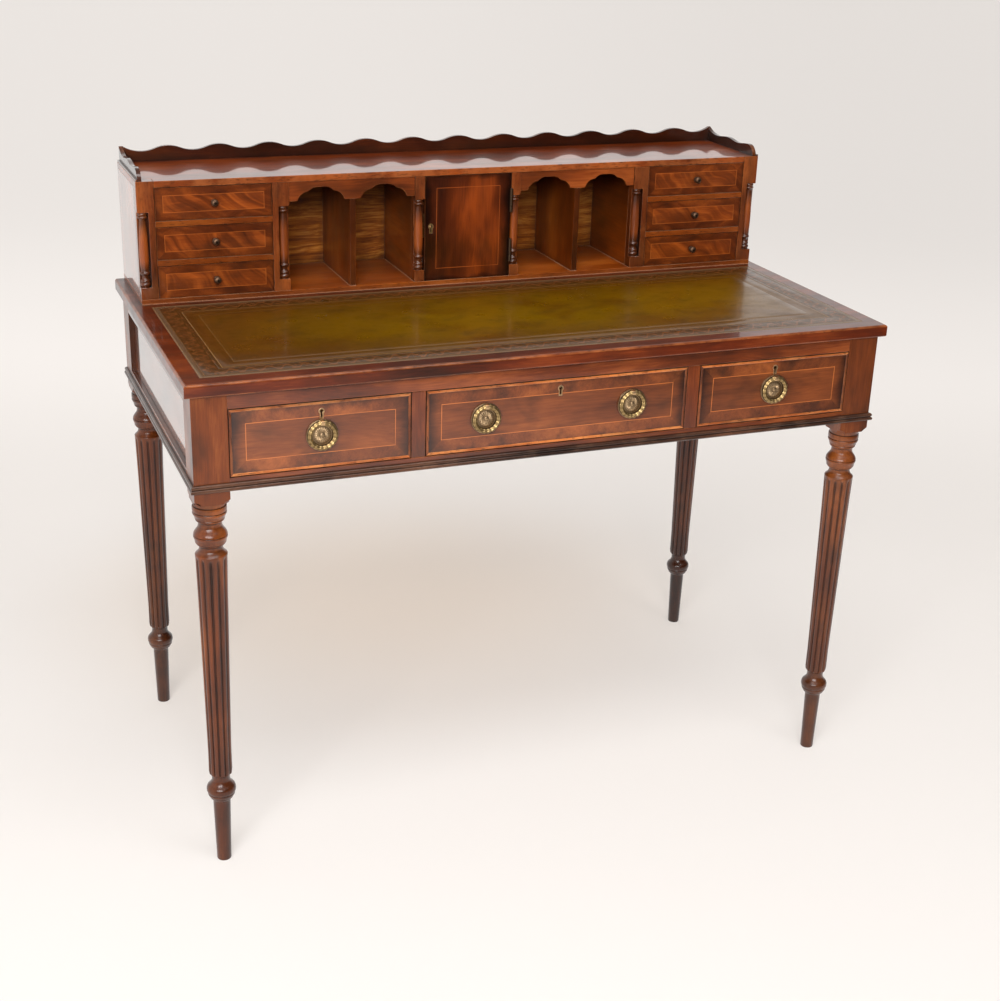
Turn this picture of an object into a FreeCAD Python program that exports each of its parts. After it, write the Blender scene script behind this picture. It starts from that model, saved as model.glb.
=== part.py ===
"""Bonheur du jour: a writing desk on reeded legs that carries a low cabinet.

Millimetres. +Z is up and the front faces -Y. The origin is on the floor, below the
middle of the desk top.
"""
import FreeCAD
import Part
import math
import os
from dataclasses import dataclass

V = FreeCAD.Vector
X, Y, Z = V(1, 0, 0), V(0, 1, 0), V(0, 0, 1)

# ---- stand and frieze
DESK_WIDTH = 1100.0
DESK_DEPTH = 584.0
DESK_HEIGHT = 770.0
TOP_THICKNESS = 19.0
TOP_ROUND = 4.0
UNDERSIDE_ROUND = 2.5
SIDE_OVERHANG = 9.0
FRONT_OVERHANG = 9.0
BACK_OVERHANG = 14.0
FRIEZE_HEIGHT = 140.0
TOP_RAIL = 22.0
BOTTOM_RAIL = 19.0
LEG_POST = 50.0
POST_DROP = 16.0
SIDE_RAIL_THICKNESS = 28.0
PANEL_THICKNESS = 10.0
PANEL_RECESS = 13.0
PANEL_LET_IN = 6.0
BACK_BOARD = 18.0
BACK_BOARD_INSET = 4.0
TENON_LENGTH = 20.0
TENON_SHOULDER = 4.0
TENON_CHEEK = 10.0
SIDE_TENON_CHEEK = 6.0
BACK_TENON_CHEEK = 5.0
BACK_TENON_SHOULDER = 15.0
TENON_SPACING = 4.0
STUB_TENON = 5.0
MIDDLE_BAY = 416.0
UPRIGHT_WIDTH = 21.0
RUNNER_LEDGE = 12.0
GUIDE_RISE = 15.0
STOP_THICKNESS = 10.0
STOP_RISE = 6.0
BLOCK = 15.0
BLOCK_LENGTH = 60.0

# ---- bead moulding round the foot of the frieze
BEAD_HEIGHT = 12.0
BEAD_PROJECTION = 5.0

# ---- turned legs: radii, with heights from the floor or below the square post
COLLAR_RADIUS = 24.2
SHOULDER_LAP = 2.0
SHOULDER_RISE = 8.0
UPPER_BULB_RADIUS = 24.0
SHAFT_TOP_RADIUS = 23.0
SHAFT_FOOT_RADIUS = 16.0
SHAFT_TOP_DROP = 86.0
SHAFT_FOOT_HEIGHT = 150.5
LOWER_BULB_RADIUS = 20.6
PEG_TOP_RADIUS = 12.8
PEG_FOOT_RADIUS = 10.8
REEDS = 12
REED_GROOVE_WIDTH = 3.0
REED_GROOVE_DEPTH = 1.8

# ---- writing surface
LEATHER_THICKNESS = 1.2
LEATHER_SIDE_MARGIN = 27.0
LEATHER_FRONT_MARGIN = 28.0
LEATHER_UNDER_CABINET = 5.0

# ---- cabinet
CABINET_INSET = 15.0
CABINET_DEPTH = 174.0
CABINET_HEIGHT = 190.5
CABINET_BOTTOM = 8.0
CABINET_TOP = 10.0
CABINET_SIDE = 12.0
CABINET_BACK = 8.0
POST_DEPTH = 20.0
OUTER_POST_WIDTH = 27.0
DRAWER_BAY = 182.0
CUPBOARD_BAY = 150.0
PARTITION = 10.0
NARROW_POST_LAP = 4.5
DUST_BOARD = 9.0
DRAWER_ROWS = 3
GUIDE_STRIP_RISE = 12.0
DIVIDER_SETBACK = 3.0

# ---- split turned colonettes, let into the posts
COLONETTE_RADIUS = 8.0
NOTCH_MARGIN = 1.0
NARROW_POST_MARGIN = 0.5
COLONETTE_FOOT = 19.0
COLONETTE_HEAD = 37.5

# ---- arched valances
VALANCE_THICKNESS = 6.0
VALANCE_SETBACK = 2.0
VALANCE_TIP_DROP = 31.0
VALANCE_CUSP_DROP = 16.5
VALANCE_APEX_DROP = 10.0
VALANCE_TIP_FLAT = 13.4
VALANCE_CUSP_IN = 18.0
VALANCE_APEX_FLAT = 14.0

# ---- scalloped gallery
GALLERY_THICKNESS = 7.0
GALLERY_SIDE_THICKNESS = 6.5
GALLERY_INSET = 3.5
GALLERY_BACK_INSET = 2.0
GALLERY_PEAK = 24.0
GALLERY_TROUGH = 16.0
GALLERY_WAVES = 12
GALLERY_END_WAVE = 0.85
SIDE_PEAK = 17.5
SIDE_TROUGH = 14.0
GALLERY_BEAD = 3.0

# ---- drawers and door
ROOM_BEHIND_DRAWER = 69.0
ROOM_BEHIND_SMALL_DRAWER = 14.5
DRAWER_GAP = 1.0
SMALL_DRAWER_GAP = 0.6
SMALL_FRONT_SETBACK = 0.5
COCK_BEAD = 3.2
COCK_BEAD_TO_TAILS = 1.0
COCK_BEAD_PROUD = 1.2
DOOR_THICKNESS = 14.0
DOOR_GAP = 0.8
HINGE_LENGTH = 38.0
HINGE_INSET = 25.0
HINGE_LEAF = 0.9
HINGE_LEAF_MARGIN = 0.5
HINGE_PIN = 1.0
HINGE_KNUCKLE = 2.5
KNUCKLE_GAP = 0.2
HINGE_RUNNING_GAP = 0.05
SCREW_HEAD = 1.9
SCREW_SHANK = 1.0
SCREW_LENGTH = 9.0

# ---- ring handles, locks and knobs
HANDLE_BELOW_TOP = 90.5
MIDDLE_HANDLE_X = 116.5
PLATE_THICKNESS = 1.0
PLATE_RIM = 1.0
PLATE_RIM_HEIGHT = 2.0
BOSS_HEIGHT = 3.0
BOSS_GAP = 1.2
RING_RADIUS = 18.4
RING_TUBE = 3.2
RING_GAP = 0.4
RING_PIN = 1.5
RING_RUNNING_GAP = 0.06
KNUCKLE_WIDTH = 7.0
KNUCKLE_RADIUS = 3.2
KNUCKLE_SIDE_GAP = 0.3
POST_RADIUS = 2.5
NUT_ACROSS = 10.0
NUT_THICKNESS = 4.0
KNOB_RADIUS = 5.5
KNOB_REACH = 11.0
KNOB_SHANK = 1.5
ESCUTCHEON_RADIUS = 4.5
ESCUTCHEON_FOOT = 5.6
ESCUTCHEON_DROP = 11.5
ESCUTCHEON_DEPTH = 3.0
KEYHOLE_RADIUS = 2.7
KEYHOLE_SLOT = 2.5
KEYHOLE_DROP = 9.5
KEYHOLE_BELOW_TOP = 56.0
LOCK_WIDTH = 50.0
LOCK_HEIGHT = 36.0
LOCK_THICKNESS = 10.0
BOLT_WIDTH = 12.0
BOLT_THICKNESS = 5.0
BOLT_LENGTH = 16.0
BOLT_SETBACK = 1.0
BOLT_TRAVEL = 6.0
BOLT_GAP = 0.2
MORTISE_GAP = 1.0
DOOR_LOCK_HEIGHT = 40.0
DOOR_LOCK_WIDTH = 25.0
DOOR_LOCK_THICKNESS = 8.0
DOOR_BOLT_WIDTH = 9.0
DOOR_BOLT_THICKNESS = 4.0
DOOR_BOLT_TRAVEL = 5.0
DOOR_KEYHOLE_IN = 10.2
DOOR_KEYHOLE_RISE = 4.0

# ---- planes worked out from the sizes above
half_width = DESK_WIDTH / 2
front = -DESK_DEPTH / 2
back = DESK_DEPTH / 2
frieze_x = half_width - SIDE_OVERHANG
frieze_front = front + FRONT_OVERHANG
frieze_back = back - BACK_OVERHANG
underside = DESK_HEIGHT - TOP_THICKNESS
frieze_foot = underside - FRIEZE_HEIGHT
bay_floor = frieze_foot + BOTTOM_RAIL
bay_top = underside - TOP_RAIL
post_foot = frieze_foot - POST_DROP
post_x = frieze_x - LEG_POST
rail_back = frieze_front + LEG_POST
post_front = frieze_back - LEG_POST
board_back = frieze_back - BACK_BOARD_INSET
board_front = board_back - BACK_BOARD
bay_x = MIDDLE_BAY / 2
side_bay_x = bay_x + UPRIGHT_WIDTH
side_rail_x = frieze_x - SIDE_RAIL_THICKNESS
front_tenon_end = side_rail_x + SIDE_TENON_CHEEK - TENON_SPACING
leg_centre_x = frieze_x - LEG_POST / 2
leg_centre_front = frieze_front + LEG_POST / 2
leg_centre_back = frieze_back - LEG_POST / 2

case_x = half_width - CABINET_INSET
case_inner_x = case_x - CABINET_SIDE
case_front = back - CABINET_DEPTH
case_back = back - CABINET_BACK
case_floor = DESK_HEIGHT + CABINET_BOTTOM
case_ceiling = DESK_HEIGHT + CABINET_HEIGHT - CABINET_TOP
case_top = DESK_HEIGHT + CABINET_HEIGHT
behind_posts = case_front + POST_DEPTH
outer_post_x = case_x - OUTER_POST_WIDTH
inner_post_x = outer_post_x - DRAWER_BAY
pigeon_x = inner_post_x - OUTER_POST_WIDTH
cupboard_x = CUPBOARD_BAY / 2
narrow_post_x = cupboard_x + COLONETTE_RADIUS * 2 + NARROW_POST_MARGIN
cupboard_wall_x = cupboard_x + NARROW_POST_LAP
divider_x = (narrow_post_x + pigeon_x) / 2
row_height = (case_ceiling - case_floor - DUST_BOARD * (DRAWER_ROWS - 1)) / DRAWER_ROWS
row_pitch = row_height + DUST_BOARD
small_front = case_front + SMALL_FRONT_SETBACK
colonette_foot = case_floor + COLONETTE_FOOT
colonette_head = case_ceiling - COLONETTE_HEAD
notch_back = case_front + COLONETTE_RADIUS
notch_width = COLONETTE_RADIUS * 2 + NOTCH_MARGIN
valance_front = case_front + VALANCE_SETBACK
door_x = cupboard_x - DOOR_GAP
door_front = case_front + SMALL_FRONT_SETBACK
door_back = door_front + DOOR_THICKNESS
door_foot = case_floor + DOOR_GAP
door_head = case_ceiling - DOOR_GAP
hinge_axis_x = cupboard_x - DOOR_GAP - KNUCKLE_GAP
hinge_axis_y = case_front - HINGE_KNUCKLE - KNUCKLE_GAP
hinge_leaf_back = door_back - HINGE_LEAF_MARGIN
hinge_feet = (door_foot + HINGE_INSET, door_head - HINGE_INSET - HINGE_LENGTH)
handle_z = DESK_HEIGHT - HANDLE_BELOW_TOP
ring_pivot_z = handle_z + RING_RADIUS
ring_pivot_y = frieze_front - PLATE_THICKNESS - RING_GAP - RING_TUBE
plate_radius = RING_RADIUS + RING_TUBE + RING_GAP + PLATE_RIM
boss_radius = RING_RADIUS - RING_TUBE - BOSS_GAP
keyhole_z = DESK_HEIGHT - KEYHOLE_BELOW_TOP
side_drawer_centre = (side_bay_x + post_x) / 2
door_keyhole_z = (door_foot + door_head) / 2 + DOOR_KEYHOLE_RISE


@dataclass
class Stock:
    """Board thicknesses and joints of one size of drawer."""

    front: float
    side: float
    back: float
    bottom: float
    bottom_rise: float
    groove: float
    lap: float
    tails: int
    side_drop: float


FRIEZE_STOCK = Stock(18.0, 10.0, 10.0, 6.0, 9.0, 5.0, 5.0, 4, 3.0)
SMALL_STOCK = Stock(12.0, 6.0, 6.0, 4.0, 4.0, 3.0, 4.0, 2, 3.0)


# ---- shape helpers
def box(x0, x1, y0, y1, z0, z1):
    """Box between two corners, in either order along each axis."""
    low = V(min(x0, x1), min(y0, y1), min(z0, z1))
    return Part.makeBox(abs(x1 - x0), abs(y1 - y0), abs(z1 - z0), low)


def mirrored(shape):
    """The same shape on the other side of the middle plane."""
    return shape.mirror(V(0, 0, 0), X)


def pair(shape):
    """A shape and its mirror image."""
    return [shape, mirrored(shape)]


def fused(shapes):
    """One clean solid from shapes that overlap or share faces."""
    return shapes[0].multiFuse(shapes[1:]).removeSplitter().Solids[0]


def cut(shape, tools):
    """Shape less all the tools, as one solid."""
    return shape.cut(Part.makeCompound(tools)).Solids[0]


def outline(start, steps):
    """Wire of lines and arcs: a step of one point is a line, of two an arc through the first."""
    edges = []
    here = start
    for step in steps:
        end = step[-1]
        curve = Part.LineSegment(here, end) if len(step) == 1 else Part.Arc(here, step[0], end)
        edges.append(curve.toShape())
        here = end
    edges.append(Part.LineSegment(here, start).toShape())
    return Part.Wire(edges)


def turned(steps, start_z):
    """Solid of revolution about the z axis from (radius, height) steps that begin on the axis."""
    points = [tuple(V(r, 0, z) for r, z in step) for step in steps]
    face = Part.Face(outline(V(0, 0, start_z), points))
    return face.revolve(V(0, 0, 0), Z, 360).Solids[0]


def rod(centre, axis, radius, length):
    """Cylinder from a centre point along an axis."""
    return Part.makeCylinder(radius, length, centre, axis)


def mitred_frame(x0, x1, z0, z1, width, y0, y1):
    """Four strips round a rectangle, mitred at the corners."""
    a, b, c, d = x0 + width, x1 - width, z0 + width, z1 - width
    outer = [(x0, z0), (x1, z0), (x1, z1), (x0, z1)]
    inner = [(a, c), (b, c), (b, d), (a, d)]
    strips = []
    for i in range(4):
        j = (i + 1) % 4
        corners = [outer[i], outer[j], inner[j], inner[i], outer[i]]
        face = Part.Face(Part.makePolygon([V(x, y0, z) for x, z in corners]))
        strips.append(face.extrude(V(0, y1 - y0, 0)))
    return strips


def arc_from(level, end):
    """Arc that leaves a point level and runs to another, both in a plane of constant x or y."""
    run = end - level
    rise = run.z
    reach = math.hypot(run.x, run.y)
    along = V(run.x, run.y, 0) / reach
    radius = (reach ** 2 + rise ** 2) / (2 * rise)
    half = math.atan2(rise, reach)
    middle = level + along * (radius * math.sin(half)) + Z * (radius * (1 - math.cos(half)))
    return Part.Arc(level, middle, end).toShape()


def half_wave(crest, trough):
    """Two arcs that leave both points level and meet halfway."""
    middle = (crest + trough) / 2
    return [arc_from(crest, middle), arc_from(trough, middle)]


def slab(edges, corners, thickness):
    """Board cut to a profile: the profile's edges, closed by straight lines over the corners."""
    lines = [Part.LineSegment(a, b).toShape() for a, b in zip(corners, corners[1:])]
    wire = Part.Wire(Part.__sortEdges__(edges + lines))
    return Part.Face(wire).extrude(thickness).Solids[0]


def keyhole(x, z, radius, slot, drop, y0, y1):
    """Keyhole-shaped peg along y: a round head with a straight leg below."""
    head = rod(V(x, y0, z), Y, radius, y1 - y0)
    return fused([head, box(x - slot / 2, x + slot / 2, y0, y1, z - drop, z)])


def countersunk(tip, direction):
    """Countersunk screw whose flat head starts at a point and whose shank runs along a direction."""
    rise = SCREW_HEAD - SCREW_SHANK
    head = Part.makeCone(SCREW_HEAD, SCREW_SHANK, rise, tip, direction)
    return fused([head, rod(tip + direction * rise, direction, SCREW_SHANK, SCREW_LENGTH - rise)])


# ---- legs
def leg_blank():
    """Turned leg below a square post, its axis on the z axis."""
    top = post_foot
    end = SHAFT_FOOT_HEIGHT
    steps = [
        [(COLLAR_RADIUS, top)], [(COLLAR_RADIUS, top - 11)], [(23.4, top - 13.4), (22.2, top - 14.8)],
        [(22.9, top - 17.6), (22.0, top - 20.4)], [(20.7, top - 25), (17.9, top - 28)],
        [(17.2, top - 28.4)], [(17.9, top - 30.4), (17.2, top - 32.4)],
        [(17.5, top - 35.5), (19.2, top - 38.6)], [(UPPER_BULB_RADIUS, top - 48), (22.8, top - 56)],
        [(22.2, top - 56.6)], [(21.6, top - 62.6), (18.8, top - 67.4)],
        [(17.3, top - 67.8)], [(18.0, top - 70.4), (17.3, top - 73)],
        [(16.9, top - 75.4), (18.4, top - 79.4)], [(20.2, top - 82.4), (SHAFT_TOP_RADIUS, top - 84)],
        [(SHAFT_TOP_RADIUS, top - SHAFT_TOP_DROP)],
        [(SHAFT_FOOT_RADIUS, end)], [(13.2, end - 1.2)], [(13.2, end - 7.5)], [(14.4, end - 9.8)],
        [(LOWER_BULB_RADIUS, end - 21.5), (19.0, end - 29.6)], [(18.3, end - 30.2)],
        [(18.6, end - 33), (17.4, end - 36.4)], [(15.6, end - 40), (13.4, end - 42)],
        [(PEG_TOP_RADIUS, end - 44.5)], [(PEG_FOOT_RADIUS, 0)], [(0, 0)],
    ]
    return turned(steps, top)


def reed_grooves():
    """V grooves that leave the reeds standing between them, tapering with the shaft."""
    top = post_foot - SHAFT_TOP_DROP - 2
    foot = SHAFT_FOOT_HEIGHT + 2
    sections = []
    for radius, z in ((SHAFT_TOP_RADIUS, top), (SHAFT_FOOT_RADIUS, foot)):
        half = REED_GROOVE_WIDTH / 2 * radius / SHAFT_TOP_RADIUS
        outside = radius + REED_GROOVE_DEPTH / 2
        corners = [V(radius - REED_GROOVE_DEPTH, 0, z), V(outside, half * 1.5, z), V(outside, -half * 1.5, z)]
        sections.append(Part.makePolygon(corners + corners[:1]))
    groove = Part.makeLoft(sections, True, True)
    turns = [groove.rotated(V(0, 0, 0), Z, 360 * (i + 0.5) / REEDS) for i in range(REEDS)]
    return turns


def square_post():
    """Square post, its lower corners rounded off where the turning begins."""
    half = LEG_POST / 2
    reach, foot = half * 1.5, half + SHOULDER_LAP
    steps = [
        [(reach, underside)], [(reach, post_foot + SHOULDER_RISE)],
        [(foot + (reach - foot) * 0.72, post_foot + SHOULDER_RISE * 0.3), (foot, post_foot)], [(0, post_foot)],
    ]
    return turned(steps, underside).common(box(-half, half, -half, half, post_foot, underside)).Solids[0]


def make_legs(mortises):
    """Four legs, each one stick from the square post to the peg foot."""
    stick = fused([cut(leg_blank(), reed_grooves()), square_post()])
    legs = {}
    for side, x in (("left", -leg_centre_x), ("right", leg_centre_x)):
        for end, y in (("front", leg_centre_front), ("back", leg_centre_back)):
            legs[f"leg_{end}_{side}"] = [cut(stick.translated(V(x, y, 0)), mortises)]
    return legs


# ---- frieze
def front_rail(z0, z1):
    """Rail across the front between the legs, with a tenon at each end."""
    rail = box(-post_x, post_x, frieze_front, rail_back, z0, z1)
    tenon = box(-front_tenon_end, front_tenon_end, frieze_front + TENON_CHEEK, rail_back - TENON_CHEEK,
                z0 + TENON_SHOULDER, z1 - TENON_SHOULDER)
    return fused([rail, tenon])


def make_uprights():
    """Two uprights between the frieze drawers, stub-tenoned into both rails."""
    body = box(bay_x, side_bay_x, frieze_front, rail_back, bay_floor, bay_top)
    shoulder = TENON_SHOULDER
    tenon = box(bay_x + shoulder, side_bay_x - shoulder, frieze_front + TENON_CHEEK, rail_back - TENON_CHEEK,
                bay_floor - STUB_TENON, bay_top + STUB_TENON)
    return pair(fused([body, tenon]))


def side_rail(z0, z1, tenon_z0, tenon_z1):
    """Rail along one side, flush with the legs' outer faces, with a tenon at each end."""
    rail = box(side_rail_x, frieze_x, rail_back, post_front, z0, z1)
    tenon = box(side_rail_x + SIDE_TENON_CHEEK, frieze_x - SIDE_TENON_CHEEK, rail_back - TENON_LENGTH,
                post_front + TENON_LENGTH, tenon_z0, tenon_z1)
    return fused([rail, tenon])


def make_side_panels():
    """Recessed panel in each side, let into the rails and the legs."""
    outer = frieze_x - PANEL_RECESS
    panel = box(outer - PANEL_THICKNESS, outer, rail_back - PANEL_LET_IN, post_front + PANEL_LET_IN,
                bay_floor - PANEL_LET_IN, bay_top + PANEL_LET_IN)
    return pair(panel)


def make_side_rails(panels):
    """Upper and lower rail on each side, grooved for the panels."""
    lower = side_rail(frieze_foot, bay_floor, frieze_foot + TENON_SHOULDER, bay_floor - PANEL_LET_IN - 1)
    upper = side_rail(bay_top, underside, bay_top + PANEL_LET_IN + 1, underside - TENON_SHOULDER)
    return [cut(rail, panels) for rail in pair(lower) + pair(upper)]


def make_frieze_back():
    """Back board between the back legs, tenoned into them."""
    board = box(-post_x, post_x, board_front, board_back, frieze_foot, underside)
    tenon = box(-front_tenon_end, front_tenon_end,
                board_front + BACK_TENON_CHEEK, board_back - BACK_TENON_CHEEK,
                frieze_foot + BACK_TENON_SHOULDER, underside - BACK_TENON_SHOULDER)
    return fused([board, tenon])


def bead_section(at, outward, along):
    """One length of double bead moulding: section at a point, run along a vector."""
    def point(out, up):
        return at + outward * out + Z * up

    middle = BEAD_HEIGHT / 2
    steps = [[point(2.0, 0)], [point(BEAD_PROJECTION, middle / 2), point(2.4, middle)],
             [point(4.2, middle * 1.5), point(0.8, BEAD_HEIGHT)], [point(0, BEAD_HEIGHT)]]
    return Part.Face(outline(point(0, 0), steps)).extrude(along).Solids[0]


def make_bead_moulding():
    """Bead round the front and sides, mitred at the front corners, ending at the back legs."""
    reach = frieze_x + BEAD_PROJECTION
    over = frieze_front - BEAD_PROJECTION
    run = frieze_back - over
    front_bead = bead_section(V(-reach, frieze_front, frieze_foot), -Y, X * 2 * reach)
    side_bead = bead_section(V(frieze_x, over, frieze_foot), X, Y * run)
    corner = [V(frieze_x, frieze_front, 0), V(frieze_x + 20, frieze_front - 20, 0)]
    level = frieze_foot - 1
    beyond = Part.Face(Part.makePolygon([V(p.x, p.y, level) for p in
                                         corner + [V(frieze_x + 20, frieze_front, 0), corner[0]]]))
    before = Part.Face(Part.makePolygon([V(p.x, p.y, level) for p in
                                         corner + [V(frieze_x, frieze_front - 20, 0), corner[0]]]))
    tall = Z * (BEAD_HEIGHT + 2)
    ends = pair(beyond.extrude(tall))
    return [cut(front_bead, ends)] + pair(cut(side_bead, [before.extrude(tall)]))


def runner_pieces(z0, z1, rib):
    """Boards along the drawer sides: one under each upright's line and one by each side rail.

    A rib, where its height is not zero, stands on each board and guides the drawers.
    """
    middle = box(bay_x - RUNNER_LEDGE, side_bay_x + RUNNER_LEDGE, rail_back, board_front, z0, z1)
    outer = box(post_x - RUNNER_LEDGE, side_rail_x, rail_back, post_front, z0, z1)
    if rib:
        middle = fused([middle, box(bay_x, side_bay_x, rail_back, board_front, z1, z1 + rib)])
        outer = fused([outer, box(post_x, side_rail_x, rail_back, post_front, z1, z1 + rib)])
    return pair(middle) + pair(outer)


def drawer_stops(x0, x1):
    """Two small blocks on the front rail that the closed drawer's front rests against."""
    stop_front = frieze_front + FRIEZE_STOCK.front
    width = STOP_THICKNESS * 3
    inset = FRIEZE_STOCK.side * 3
    starts = (x0 + inset, x1 - inset - width)
    return [box(x, x + width, stop_front, stop_front + STOP_THICKNESS, bay_floor, bay_floor + STOP_RISE)
            for x in starts]


def make_drawer_runners():
    """Runners with guide ribs, kickers above the drawers, and the drawer stops."""
    runners = runner_pieces(frieze_foot, bay_floor, GUIDE_RISE)
    kickers = runner_pieces(bay_top, underside, 0)
    stops = drawer_stops(-bay_x, bay_x)
    stops += drawer_stops(side_bay_x, post_x) + drawer_stops(-post_x, -side_bay_x)
    return runners + kickers + stops


def make_glue_blocks():
    """Blocks in the corners under the top, two to a bay, behind the top rail and by the back board."""
    blocks = []
    free = ((-bay_x + RUNNER_LEDGE, bay_x - RUNNER_LEDGE),
            (side_bay_x + RUNNER_LEDGE, post_x - RUNNER_LEDGE),
            (-post_x + RUNNER_LEDGE, -side_bay_x - RUNNER_LEDGE))
    for x0, x1 in free:
        for share in (0.25, 0.75):
            x = x0 + (x1 - x0) * share
            for y0, y1 in ((rail_back, rail_back + BLOCK), (board_front - BLOCK, board_front)):
                blocks.append(box(x - BLOCK_LENGTH / 2, x + BLOCK_LENGTH / 2, y0, y1,
                                  underside - BLOCK, underside))
    return blocks


# ---- writing surface
def make_leather():
    """Leather skiver let in flush with the top, its back edge under the cabinet."""
    return box(-half_width + LEATHER_SIDE_MARGIN, half_width - LEATHER_SIDE_MARGIN,
               front + LEATHER_FRONT_MARGIN, case_front + LEATHER_UNDER_CABINET,
               DESK_HEIGHT - LEATHER_THICKNESS, DESK_HEIGHT)


def outer_edges(board, z):
    """The front and side edges of a board at one height."""
    def chosen(edge):
        middle = edge.CenterOfMass
        return abs(middle.z - z) < 0.01 and middle.y < back - 1
    return [edge for edge in board.Edges if chosen(edge)]


def make_desk_top(leather):
    """Top board with rounded front and side edges and a recess for the leather."""
    board = box(-half_width, half_width, front, back, underside, DESK_HEIGHT)
    board = board.makeFillet(TOP_ROUND, outer_edges(board, DESK_HEIGHT))
    board = board.makeFillet(UNDERSIDE_ROUND, outer_edges(board, underside))
    return cut(board, [leather])


# ---- cabinet
def make_cabinet_sides():
    """Two side boards, from the posts to the back edge."""
    return pair(box(case_inner_x, case_x, behind_posts, back, case_floor, case_ceiling))


def notch(x0, x1):
    """The space cut in a post's face for a colonette."""
    return box(x0, x1, case_front, notch_back, colonette_foot, colonette_head)


def make_corner_posts():
    """Posts at the cabinet's front corners, notched on their outer edge, up to the top's surface."""
    post = box(outer_post_x, case_x, case_front, behind_posts, case_floor, case_top)
    return pair(cut(post, [notch(case_x - notch_width, case_x)]))


def make_inner_posts(door_mortise, hinge_screws):
    """Posts beside the pigeonholes: a wide one by the drawers and a narrow one by the cupboard."""
    wide = box(pigeon_x, inner_post_x, case_front, behind_posts, case_floor, case_ceiling)
    narrow = box(cupboard_x, narrow_post_x, case_front, behind_posts, case_floor, case_ceiling)
    narrow = cut(narrow, [notch(cupboard_x, narrow_post_x)])
    posts = pair(cut(wide, [notch(pigeon_x, pigeon_x + notch_width)])) + pair(narrow)
    return [cut(post, [door_mortise] + hinge_screws) for post in posts]


def make_cabinet_top():
    """Top board, notched round the corner posts."""
    board = box(-case_x, case_x, case_front, back, case_ceiling, case_top)
    post = box(outer_post_x, case_x, case_front, behind_posts, case_ceiling, case_top)
    return cut(board, pair(post))


def make_partitions():
    """Walls behind the posts, on both sides of the pigeonholes."""
    outer = box(pigeon_x, pigeon_x + PARTITION, behind_posts, case_back, case_floor, case_ceiling)
    inner = box(cupboard_wall_x, narrow_post_x, behind_posts, case_back, case_floor, case_ceiling)
    return pair(outer) + pair(inner)


def make_dust_boards():
    """Boards between the rows of small drawers, notched round the posts, with guide strips."""
    pieces = []
    for row in range(DRAWER_ROWS):
        floor = case_floor + row * row_pitch
        if row:
            tongue = box(inner_post_x, outer_post_x, case_front, behind_posts, floor - DUST_BOARD, floor)
            sheet = box(pigeon_x + PARTITION, case_inner_x, behind_posts, case_back,
                        floor - DUST_BOARD, floor)
            pieces += pair(fused([tongue, sheet]))
        for x0, x1 in ((outer_post_x, case_inner_x), (pigeon_x + PARTITION, inner_post_x)):
            pieces += pair(box(x0, x1, behind_posts, case_back, floor, floor + GUIDE_STRIP_RISE))
    return pieces


def make_dividers(valances):
    """Pigeonhole dividers, housed over the valances."""
    board = box(divider_x - PARTITION / 2, divider_x + PARTITION / 2, case_front + DIVIDER_SETBACK, case_back,
                case_floor, case_ceiling)
    return [cut(divider, valances) for divider in pair(board)]


def arch_edges(centre, half_pitch):
    """Edge of one valance arch: flat tip, hollow, cusp, second hollow and a flat crown, both ways."""
    tip = case_ceiling - VALANCE_TIP_DROP
    cusp = case_ceiling - VALANCE_CUSP_DROP
    crown = case_ceiling - VALANCE_APEX_DROP
    shoulder = half_pitch - VALANCE_TIP_FLAT
    cusp_in = shoulder - VALANCE_CUSP_IN
    edges = []
    for way in (1, -1):
        def at(u, z, way=way):
            return V(centre + way * u, valance_front, z)

        bulge = at((shoulder + cusp_in) / 2 + 3, (tip + cusp) / 2 + 2.4)
        hump = at((cusp_in + VALANCE_APEX_FLAT / 2) / 2 + 0.8, (cusp + crown) / 2 + 1.4)
        edges.append(Part.LineSegment(at(half_pitch, tip), at(shoulder, tip)).toShape())
        edges.append(Part.Arc(at(shoulder, tip), bulge, at(cusp_in, cusp)).toShape())
        edges.append(Part.Arc(at(cusp_in, cusp), hump, at(VALANCE_APEX_FLAT / 2, crown)).toShape())
        edges.append(Part.LineSegment(at(VALANCE_APEX_FLAT / 2, crown), at(0, crown)).toShape())
    return edges


def make_valances():
    """Board above each pair of pigeonholes, cut in two arches."""
    half_pitch = (pigeon_x - narrow_post_x) / 4
    edges = []
    for centre in (narrow_post_x + half_pitch, narrow_post_x + 3 * half_pitch):
        edges += arch_edges(centre, half_pitch)
    tip = case_ceiling - VALANCE_TIP_DROP
    corners = [V(x, valance_front, z) for x, z in ((narrow_post_x, tip), (narrow_post_x, case_ceiling),
                                                   (pigeon_x, case_ceiling), (pigeon_x, tip))]
    return pair(slab(edges, corners, Y * VALANCE_THICKNESS))


def colonette():
    """Half of a turned column, flat at the back, with its axis on the z axis."""
    foot, head = colonette_foot, colonette_head
    ring, bead, belly, seat, waist = (COLONETTE_RADIUS * share for share in (1.0, 0.93, 0.92, 0.78, 0.64))
    steps = [
        [(seat, head)], [(bead, head - 2.6), (seat, head - 5.2)], [(ring, head - 7.4), (seat, head - 9.6)],
        [(waist, head - 11.2)], [(belly, foot + 58), (seat, foot + 25.6)],
        [(seat, foot + 24.6)], [(ring, foot + 22), (seat, foot + 19.4)],
        [(waist, foot + 17.8)], [(waist, foot + 13.4)],
        [(seat, foot + 12.2)], [(bead, foot + 10), (seat, foot + 7.8)],
        [(ring, foot + 4.4), (seat, foot + 1.0)], [(seat, foot)], [(0, foot)],
    ]
    column = turned(steps, head)
    reach = COLONETTE_RADIUS * 2
    return column.common(box(-reach, reach, -reach, 0, foot, head)).Solids[0]


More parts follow.
